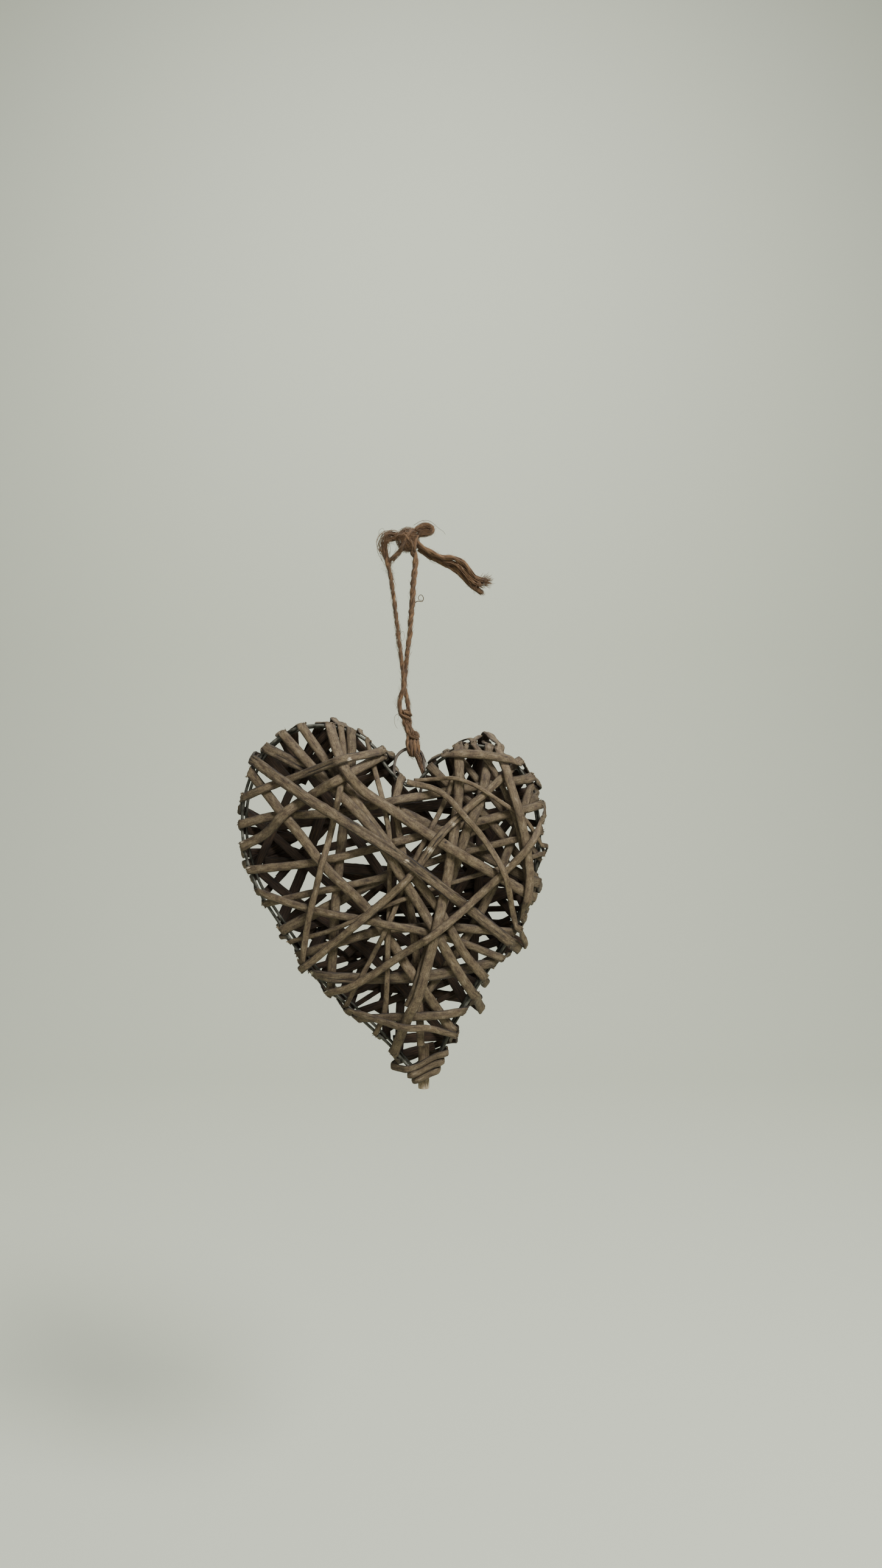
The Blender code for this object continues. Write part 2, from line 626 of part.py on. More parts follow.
def hanging_twine(material, collection):
    strands = [
        ("twine_strand_left", LEFT_STRAND, STRAND_STEP),
        ("twine_strand_right", RIGHT_STRAND, STRAND_STEP),
        ("twine_eye_strand", EYE_STRAND, TAIL_STEP),
        ("twine_tail_upper", UPPER_TAIL, TAIL_STEP),
        ("twine_tail_lower", LOWER_TAIL, TAIL_STEP),
        ("twine_bow", BOW, TAIL_STEP),
    ]
    for name, points, step in strands:
        tube(name, points, TWINE_RADIUS, step, material, collection)
    knot("twine_top_knot", TOP_KNOT, 0.0, material, collection)
    return knot("twine_ring_knot", RING_KNOT, KNOT_LEAN, material, collection)


# ---------------------------------------------------------------- materials and the whole
def principled(name, colour, roughness, metallic=0.0):
    material = bpy.data.materials.new(name)
    material.use_nodes = True
    shader = material.node_tree.nodes["Principled BSDF"]
    shader.inputs["Base Color"].default_value = (*colour, 1.0)
    shader.inputs["Roughness"].default_value = roughness
    shader.inputs["Metallic"].default_value = metallic
    material.diffuse_color = (*colour, 1.0)
    return material


def new_collection(name):
    collection = bpy.data.collections.new(name)
    bpy.context.scene.collection.children.link(collection)
    return collection


def main():
    for obj in list(bpy.data.objects):
        bpy.data.objects.remove(obj, do_unlink=True)
    heart = new_collection("Woven willow heart")
    cutters = new_collection("Cutters")
    cutters.hide_render = True
    willow = principled("Weathered willow", (0.26, 0.20, 0.13), 0.75)
    wire = principled("Galvanised wire", (0.35, 0.35, 0.33), 0.4, 1.0)
    bark = principled("Grey bark", (0.16, 0.13, 0.10), 0.85)
    jute = principled("Jute twine", (0.24, 0.13, 0.055), 0.9)

    stack = ([], [])
    rim_wires(stack, wire, heart)
    line_back(stack, willow, heart)
    weave_strips(stack, willow, heart)
    tip_binding(stack, willow, heart)
    tip_rod_end(willow, heart)
    tube("bark_hanging_loop", BARK_LOOP, BARK_RADIUS, BARK_STEP, bark, heart, resolution=1)
    ring_knot = hanging_twine(jute, heart)
    bore_for(ring_knot, BARK_LOOP, BARK_RADIUS, jute, cutters)


main()
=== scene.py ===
import math
import random
from functools import partial

import bmesh
import bpy
import numpy as np
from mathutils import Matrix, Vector, noise
from mathutils.bvhtree import BVHTree


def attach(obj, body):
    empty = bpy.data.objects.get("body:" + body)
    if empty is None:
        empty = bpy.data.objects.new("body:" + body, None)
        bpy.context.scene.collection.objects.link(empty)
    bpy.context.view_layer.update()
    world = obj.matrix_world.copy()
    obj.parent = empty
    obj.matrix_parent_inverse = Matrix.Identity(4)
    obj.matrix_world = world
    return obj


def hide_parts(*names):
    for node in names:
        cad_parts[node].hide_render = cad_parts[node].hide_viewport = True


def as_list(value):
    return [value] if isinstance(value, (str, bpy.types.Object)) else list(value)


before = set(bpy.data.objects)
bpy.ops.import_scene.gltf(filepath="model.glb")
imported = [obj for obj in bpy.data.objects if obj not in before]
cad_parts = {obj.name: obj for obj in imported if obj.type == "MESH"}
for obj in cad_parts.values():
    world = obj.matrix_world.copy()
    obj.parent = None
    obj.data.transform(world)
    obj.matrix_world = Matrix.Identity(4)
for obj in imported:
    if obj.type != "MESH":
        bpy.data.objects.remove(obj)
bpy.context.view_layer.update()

# Woven willow heart on a jute hanging twine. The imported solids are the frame, and each of them
# gets a finer piece in its place. Lengths in the dictionaries are millimetres.
mm = 0.001

# camera, backdrop and light, in metres
studio = {
    "cameraPlace": (0.031, -0.7646, -0.1575),
    "lens": 27.1,
    "sensorWidth": 36.0,
    "clipStart": 0.02,
    "floorHeight": -0.75,
    "wallDistance": 2.6,
    "bend": 1.0,  # radius of the sweep from floor to wall
    "bendSteps": 24,
    "halfWidth": 6.0,
    "nearEdge": -3.0,
    "wallHeight": 5.0,
    "backdropColour": "#d2d6c3",
    "target": (0.0, 0.0, -0.2),
    "wallTarget": (0.0, 2.6, -0.2),
    # name, place, power, size and what it points at
    "lights": [
        ("keyLight", (0.75, -1.0, 0.95), 44.0, 0.55, "target"),
        ("fillLight", (-1.2, -1.1, 0.0), 2.5, 1.2, "target"),
        ("wallLight", (0.0, 0.7, 1.7), 50.0, 2.0, "wallTarget"),
    ],
    "skyColour": "#eceff0",
    "skyStrength": 0.26,
}


def linear(hexColour):
    # sRGB hex to the linear values that the shaders work in
    channels = [int(hexColour[i : i + 2], 16) / 255 for i in (1, 3, 5)]
    return [c / 12.92 if c <= 0.04045 else ((c + 0.055) / 1.055) ** 2.4 for c in channels]


def feed(node, inputs):
    # gives sockets their values or links; a node stands for its first output in use
    for socket, value in inputs.items():
        if isinstance(value, bpy.types.Node):
            value = next(output for output in value.outputs if output.enabled)
        if isinstance(value, bpy.types.NodeSocket):
            node.id_data.links.new(value, node.inputs[socket])
        else:
            node.inputs[socket].default_value = value


def addNode(tree, kind, inputs=None, stops=(), **settings):
    # one shader node with its settings, its socket values or links, and its ramp stops
    node = tree.nodes.new("ShaderNode" + kind)
    for key, value in settings.items():
        setattr(node, key, value)
    feed(node, inputs or {})
    if stops:
        ramp = node.color_ramp.elements
        while len(ramp) < len(stops):
            ramp.new(0.5)
        for element, (place, value) in zip(ramp, stops):
            element.position = place
            element.color = (*(linear(value) if isinstance(value, str) else [value] * 3), 1.0)
    return node


def newMaterial(name, roughness, metallic=0.0, colour="#808080"):
    material = bpy.data.materials.new(name)
    material.use_nodes = True
    shader = material.node_tree.nodes["Principled BSDF"]
    feed(shader, {"Base Color": (*linear(colour), 1.0), "Roughness": roughness, "Metallic": metallic})
    return material, partial(addNode, material.node_tree), shader


def addObject(name, data):
    made = bpy.data.objects.new(name, data)
    bpy.context.scene.collection.objects.link(made)
    return made


def addMesh(name, bm, material):
    mesh = bpy.data.meshes.new(name)
    bm.to_mesh(mesh)
    bm.free()
    mesh.materials.append(material)
    return addObject(name, mesh)


def makeCamera():
    data = bpy.data.cameras.new("frontCamera")
    data.lens = studio["lens"]
    data.sensor_width = studio["sensorWidth"]
    data.clip_start = studio["clipStart"]
    camera = addObject("frontCamera", data)
    camera.location = studio["cameraPlace"]
    camera.rotation_euler = (math.pi / 2, 0.0, 0.0)
    bpy.context.scene.camera = camera


def addAreaLight(name, place, power, size, target):
    data = bpy.data.lights.new(name, "AREA")
    data.shape = "DISK"
    data.energy = power
    data.size = size
    light = addObject(name, data)
    light.location = place
    aim = Vector(target) - Vector(place)
    light.rotation_euler = aim.to_track_quat("-Z", "Y").to_euler()


def makeSky():
    world = bpy.data.worlds.new("softRoom")
    world.use_nodes = True
    sky = world.node_tree.nodes["Background"]
    sky.inputs["Color"].default_value = (*linear(studio["skyColour"]), 1.0)
    sky.inputs["Strength"].default_value = studio["skyStrength"]
    bpy.context.scene.world = world


def makeBackdrop():
    # floor and wall in one sheet, joined by a wide bend: a plane whose far edge is spun up
    bm = bmesh.new()
    floor, wall, bend = studio["floorHeight"], studio["wallDistance"], studio["bend"]
    halfWidth, nearEdge, wallHeight = studio["halfWidth"], studio["nearEdge"], studio["wallHeight"]
    ends = [bm.verts.new((x, nearEdge, floor)) for x in (-halfWidth, halfWidth)]

    def pull(edges, way):
        made = bmesh.ops.extrude_edge_only(bm, edges=edges)["geom"]
        far = [v for v in made if isinstance(v, bmesh.types.BMVert)]
        bmesh.ops.translate(bm, vec=way, verts=far)
        return far + [e for e in made if isinstance(e, bmesh.types.BMEdge) and set(e.verts) == set(far)]

    turned = bmesh.ops.spin(
        bm, geom=pull([bm.edges.new(ends)], (0.0, wall - bend - nearEdge, 0.0)),
        cent=(0.0, wall - bend, floor + bend), axis=(1.0, 0.0, 0.0), angle=math.pi / 2,
        steps=studio["bendSteps"], use_duplicate=False,
    )["geom_last"]
    pull([e for e in turned if isinstance(e, bmesh.types.BMEdge)], (0.0, 0.0, wallHeight))
    bmesh.ops.recalc_face_normals(bm, faces=bm.faces)
    for face in bm.faces:
        face.smooth = True
    # board rolled with matt emulsion: pale, even and without gloss
    material = newMaterial("Matt painted board", 0.9, colour=studio["backdropColour"])[0]
    addMesh("backdrop", bm, material)


makeCamera()
for name, place, power, size, target in studio["lights"]:
    addAreaLight(name, place, power, size, studio[target])
makeSky()
makeBackdrop()
print("studio: camera, backdrop and three soft lights")


# lines, tubes and skins that the pieces share
curvePieces = 16  # of a smooth curve, between two of its given points
seamGap = 2e-6  # points nearer than this are one, in metres


def distances(points):
    # how far along a line each of its points lies
    steps = np.linalg.norm(np.diff(points, axis=0), axis=1)
    return np.concatenate([[0.0], np.cumsum(steps)])


def evenPoints(points, step):
    along = distances(points)
    count = max(2, round(along[-1] / step)) + 1
    wanted = np.linspace(0.0, along[-1], count)
    return np.stack([np.interp(wanted, along, points[:, k]) for k in range(points.shape[1])], 1)


def smoothThrough(points, step, closed=False):
    # a centripetal Catmull-Rom curve, with a point every step
    knots = [Vector(p) for p in points]
    if closed:
        knots = [knots[-1], *knots, knots[0], knots[1]]
    else:
        knots = [2 * knots[0] - knots[1], *knots, 2 * knots[-1] - knots[-2]]
    fine = []
    for four in zip(knots, knots[1:], knots[2:], knots[3:]):
        times = [0.0]
        for a, b in zip(four, four[1:]):
            times.append(times[-1] + (b - a).length ** 0.5)
        for i in range(curvePieces):
            t = times[1] + (times[2] - times[1]) * i / curvePieces
            row = four
            for spans in (((0, 1), (1, 2), (2, 3)), ((0, 2), (1, 3)), ((1, 2),)):
                shares = [(t - times[j]) / (times[k] - times[j]) for j, k in spans]
                row = [a.lerp(b, share) for a, b, share in zip(row, row[1:], shares)]
            fine.append(row[0])
    fine.append(knots[-2])
    return evenPoints(np.array([tuple(p) for p in fine]), step)


def refineRows(rows, step):
    # cubic steps between rows of numbers, the first three of which are a place
    lengths = np.linalg.norm(np.diff(rows[:, :3], axis=0), axis=1)
    along = distances(rows[:, :3])
    slopes = np.gradient(rows, along, axis=0)
    parts = [np.linspace(a, b, max(2, round((b - a) / step)), endpoint=False)
             for a, b in zip(along, along[1:])]
    wanted = np.concatenate([*parts, [along[-1]]])
    i = np.clip(np.searchsorted(along, wanted, "right") - 1, 0, len(lengths) - 1)
    t = ((wanted - along[i]) / lengths[i])[:, None]
    h = lengths[i][:, None]
    made = (2 * t**3 - 3 * t**2 + 1) * rows[i] + (t**3 - 2 * t**2 + t) * h * slopes[i]
    made += (3 * t**2 - 2 * t**3) * rows[i + 1] + (t**3 - t**2) * h * slopes[i + 1]
    return made, wanted


def unit(vectors):
    return vectors / np.maximum(np.linalg.norm(vectors, axis=-1, keepdims=True), 1e-12)


def wobble(x, y=0.0, z=0.0):
    # smooth noise between about -1 and 1
    return noise.noise(Vector((x, y, z)))


def carriedFrames(line):
    # two directions square to a line, carried along it without twisting
    heading = unit(np.gradient(line, axis=0))
    start = np.cross(heading[0], (0.0, 1.0, 0.0))
    if np.linalg.norm(start) < 0.2:
        start = np.cross(heading[0], (1.0, 0.0, 0.0))
    sides = [unit(start)]
    for direction in heading[1:]:
        sides.append(unit(sides[-1] - direction * (sides[-1] @ direction)))
    sides = np.array(sides)
    return heading, sides, np.cross(heading, sides)


def aside(line, frames, angle, away):
    # the line moved sideways, each point by its own angle and distance
    moved = line + frames[1] * (np.cos(angle) * away)[:, None]
    return moved + frames[2] * (np.sin(angle) * away)[:, None]


def scatter(rng, spread=1.0):
    # a random step in three directions
    return np.array([rng.gauss(0, spread) for _ in range(3)])


def newBmesh():
    # the point colour layer holds: tone, outer side, dark and pale, each from 0 to 1; the tone also carries
    # painted shade and the paleness painted highlights
    bm = bmesh.new()
    bm.verts.layers.float_color.new("finishAndPaintedLight")
    bm.loops.layers.uv.new("UVMap")
    return bm


def rollSkin(bm, spots, around, along, finishAndPaintedLight, looped=False):
    # a grid rolled into a skin: spots[ring][column] in mm, with its seam merged later; its point
    # colour is a tone, a colour, or a function that gives the colour of each point
    if isinstance(finishAndPaintedLight, float):
        finishAndPaintedLight = (finishAndPaintedLight, 1.0, 0.0, 0.0)
    rings, columns = spots.shape[:2]
    last = rings if looped else rings - 1
    uvLayer = bm.loops.layers.uv["UVMap"]
    finishLayer = bm.verts.layers.float_color.get("finishAndPaintedLight")
    made = bmesh.ops.create_grid(bm, x_segments=columns, y_segments=last, size=1.0)["verts"]
    where = {}
    for vert in made:
        j = round((vert.co.x + 1) / 2 * columns)
        i = round((vert.co.y + 1) / 2 * last)
        where[vert] = (i, j)
        vert.co = Vector(spots[i % rings][j % columns]) * mm
        vert[finishLayer] = finishAndPaintedLight(i % rings, j % columns) if callable(finishAndPaintedLight) else finishAndPaintedLight
    for face in {face for vert in made for face in vert.link_faces}:
        face.smooth = True
        for loop in face.loops:
            i, j = where[loop.vert]
            loop[uvLayer].uv = (around[j] * 0.1, along[i] * 0.1)  # one UV unit is 10 mm


def sweepTube(bm, line, radii, sides, finishAndPaintedLight=0.5, flatness=1.0, looped=False, start=0.0, frames=None):
    # a round or flattened tube along a line, with its own radius at each point
    _, first, second = frames or carriedFrames(line)
    radii = np.asarray(radii, float)
    if radii.ndim < 2:
        radii = np.broadcast_to(radii, (len(line),))[:, None] * np.ones(sides)
    angles = np.arange(sides) * 2 * math.pi / sides
    ring = np.cos(angles)[None, :, None] * first[:, None, :]
    ring = ring + np.sin(angles)[None, :, None] * second[:, None, :] * flatness
    spots = line[:, None, :] + ring * radii[:, :, None]
    along = start + distances(line)
    if looped:
        along = np.append(along, along[-1] + np.linalg.norm(line[0] - line[-1]))
    around = np.arange(sides + 1) * 2 * math.pi * float(np.mean(radii)) / sides
    rollSkin(bm, spots, around, along, finishAndPaintedLight, looped)


def closeUp(bm):
    # merges the seams, caps the open ends and turns all faces outwards
    bmesh.ops.remove_doubles(bm, verts=bm.verts, dist=seamGap)
    rim = [e for e in bm.edges if e.is_boundary]
    if rim:
        caps = bmesh.ops.holes_fill(bm, edges=rim, sides=0)["faces"]
        for face in caps:
            face.smooth = False
    bmesh.ops.recalc_face_normals(bm, faces=bm.faces)


def finishPiece(name, bm, material, slot, *nodes):
    closeUp(bm)
    piece = addMesh(name, bm, material)
    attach(piece, "root")
    if nodes:
        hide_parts(*nodes)
    return piece


# materials
multiply = {"data_type": "RGBA", "blend_type": "MULTIPLY"}


def willowMaterial():
    # Split willow with its bark on, boiled, bent and dried: matt grey-brown, finely speckled,
    # streaked along the grain, darker where the bark has cracked, pale where it has chipped off, with
    # painted highlights of glinting wire at some folds, and dark red-brown on the split side, painted
    # darker than the wood to stand for the shade inside the heart.
    material, add, shader = newMaterial("Weathered split willow", 0.8)
    uv = add("UVMap", uv_map="UVMap")
    place = add("TexCoord").outputs["Object"]
    finishAndPaintedLight = add("Attribute", attribute_name="finishAndPaintedLight")
    parts = add("SeparateColor", {"Color": finishAndPaintedLight}).outputs
    # one UV unit is 10 mm: streaks about 0.6 mm apart and 10 mm long
    grainMap = add("Mapping", {"Vector": uv, "Scale": (16.0, 1.0, 1.0)})
    grain = add("TexNoise", {"Vector": grainMap, "Scale": 1.0, "Detail": 5.0, "Roughness": 0.6})
    # mottles of the bark, 3 to 8 mm long
    mottleMap = add("Mapping", {"Vector": uv, "Scale": (4.5, 1.6, 1.0)})
    mottle = add("TexNoise", {"Vector": mottleMap, "Scale": 1.0, "Detail": 4.0, "Roughness": 0.65})
    # pores, 0.4 mm across, a little coarser than real ones so that they show
    pores = add("TexNoise", {"Vector": place, "Scale": 1300.0, "Detail": 2.0, "Roughness": 0.7})
    bark = add("ValToRGB", {"Fac": mottle},
               [(0.28, "#4b3a28"), (0.42, "#786349"), (0.56, "#94805f"), (0.72, "#b5a184")])
    streak = add("ValToRGB", {"Fac": grain}, [(0.30, 0.58), (0.40, 0.84), (0.52, 1.0), (0.74, 1.1)])
    streaked = add("Mix", {"Factor": 1.0, "A": bark, "B": streak}, **multiply)
    pitted = add("ValToRGB", {"Fac": pores}, [(0.32, 0.45), (0.44, 0.92), (0.60, 1.0), (0.80, 1.06)])
    speckled = add("Mix", {"Factor": 1.0, "A": streaked, "B": pitted}, **multiply)
    # the split side: dark red-brown, painted darker than the wood to stand for the shade inside the heart
    inner = add("ValToRGB", {"Fac": grain}, [(0.30, "#24180f"), (0.52, "#513b26"), (0.80, "#866747")])
    sides = add("Mix", {"Factor": parts["Green"], "A": inner, "B": speckled}, data_type="RGBA")
    # how light the point is, the same for both sides of a strip, with the painted shade towards its edges
    tone = add("MapRange", {"Value": parts["Red"], "To Min": 0.11, "To Max": 0.84})
    toned = add("VectorMath", {0: sides, 1: tone}, operation="MULTIPLY")
    # a crack shows where the darkness of the point meets a dark streak
    torn = add("Math", {0: parts["Blue"], 1: grain}, operation="SUBTRACT")
    crack = add("MapRange", {"Value": torn, "From Min": -0.12, "From Max": 0.16})
    cracked = add("Mix", {"Factor": crack, "A": toned, "B": (*linear("#211911"), 1.0)}, data_type="RGBA")
    # and bare wood where its paleness meets one; at some folds the paleness is a painted highlight of
    # glinting wire
    bare = add("Math", {0: finishAndPaintedLight.outputs["Alpha"], 1: grain}, operation="SUBTRACT")
    chipAndGlint = add("MapRange", {"Value": bare, "From Min": -0.02, "From Max": 0.1})
    chipped = add("Mix", {"Factor": chipAndGlint, "A": cracked, "B": (*linear("#b9ac93"), 1.0)}, data_type="RGBA")
    bump = add("Bump", {"Height": grain, "Strength": 0.5, "Distance": 0.0004})
    rough = add("MapRange", {"Value": mottle, "To Min": 0.68, "To Max": 0.92})
    feed(shader, {"Base Color": chipped, "Normal": bump, "Roughness": rough})
    return material


def juteMaterial():
    # Jute twine, spun loosely in two plies: dull brown with pale and dark fibres along each ply.
    material, add, shader = newMaterial("Spun jute", 0.9)
    uv = add("UVMap", uv_map="UVMap")
    place = add("TexCoord").outputs["Object"]
    finishAndPaintedLight = add("Attribute", attribute_name="finishAndPaintedLight")
    parts = add("SeparateColor", {"Color": finishAndPaintedLight}).outputs
    # fibres about 0.35 mm apart, drawn coarser than real ones so that they show
    fibreMap = add("Mapping", {"Vector": uv, "Scale": (26.0, 1.5, 1.0)})
    fibre = add("TexNoise", {"Vector": fibreMap, "Scale": 1.0, "Detail": 4.0, "Roughness": 0.6})
    # blotches about 5 mm across
    blotch = add("TexNoise", {"Vector": place, "Scale": 220.0, "Detail": 3.0})
    colour = add("ValToRGB", {"Fac": fibre},
                 [(0.28, "#3a2617"), (0.45, "#60452b"), (0.60, "#81613e"), (0.80, "#aa8759")])
    mottle = add("ValToRGB", {"Fac": blotch}, [(0.35, 0.72), (0.52, 1.0), (0.70, 1.0)])
    mottled = add("Mix", {"Factor": 1.0, "A": colour, "B": mottle}, **multiply)
    # the tone carries the painted shade in the grooves between fibre bundles
    tone = add("MapRange", {"Value": parts["Red"], "To Min": 0.3, "To Max": 1.5})
    toned = add("VectorMath", {0: mottled, 1: tone}, operation="MULTIPLY")
    bump = add("Bump", {"Height": fibre, "Strength": 0.8, "Distance": 0.0003})
    feed(shader, {"Base Color": toned, "Normal": bump, "Sheen Weight": 0.1, "Sheen Roughness": 0.6})
    return material


def wireMaterial():
    # Zinc-galvanised steel wire, drawn and hot dipped: grey metal, clouded and dulled by oxide.
    material, add, shader = newMaterial("Galvanised wire", 0.5, metallic=1.0, colour="#7d7d76")
    place = add("TexCoord").outputs["Object"]
    cloud = add("TexNoise", {"Vector": place, "Scale": 260.0, "Detail": 4.0})
    colour = add("ValToRGB", {"Fac": cloud}, [(0.30, "#34332d"), (0.50, "#56554d"), (0.72, "#7c7b72")])
    rough = add("MapRange", {"Value": cloud, "To Min": 0.48, "To Max": 0.82})
    feed(shader, {"Base Color": colour, "Roughness": rough})
    return material


def barkMaterial():
    # Strips of willow bark, peeled off green, twisted together and dried: matt grey, ribbed
    # lengthways, paler on the ribs.
    material, add, shader = newMaterial("Dried grey bark", 0.85)
    uv = add("UVMap", uv_map="UVMap")
    # ribs about 0.6 mm apart
    ribMap = add("Mapping", {"Vector": uv, "Scale": (16.0, 1.2, 1.0)})
    ribs = add("TexNoise", {"Vector": ribMap, "Scale": 1.0, "Detail": 5.0, "Roughness": 0.65})
    colour = add("ValToRGB", {"Fac": ribs},
                 [(0.30, "#2e2822"), (0.48, "#554b41"), (0.66, "#756c61"), (0.82, "#959086")])
    bump = add("Bump", {"Height": ribs, "Strength": 0.8, "Distance": 0.0004})
    feed(shader, {"Base Color": colour, "Normal": bump})
    return material


willowFinish = willowMaterial()
juteFinish = juteMaterial()
wireFinish = wireMaterial()
barkFinish = barkMaterial()
print("materials: split willow, jute, galvanised wire and bark")


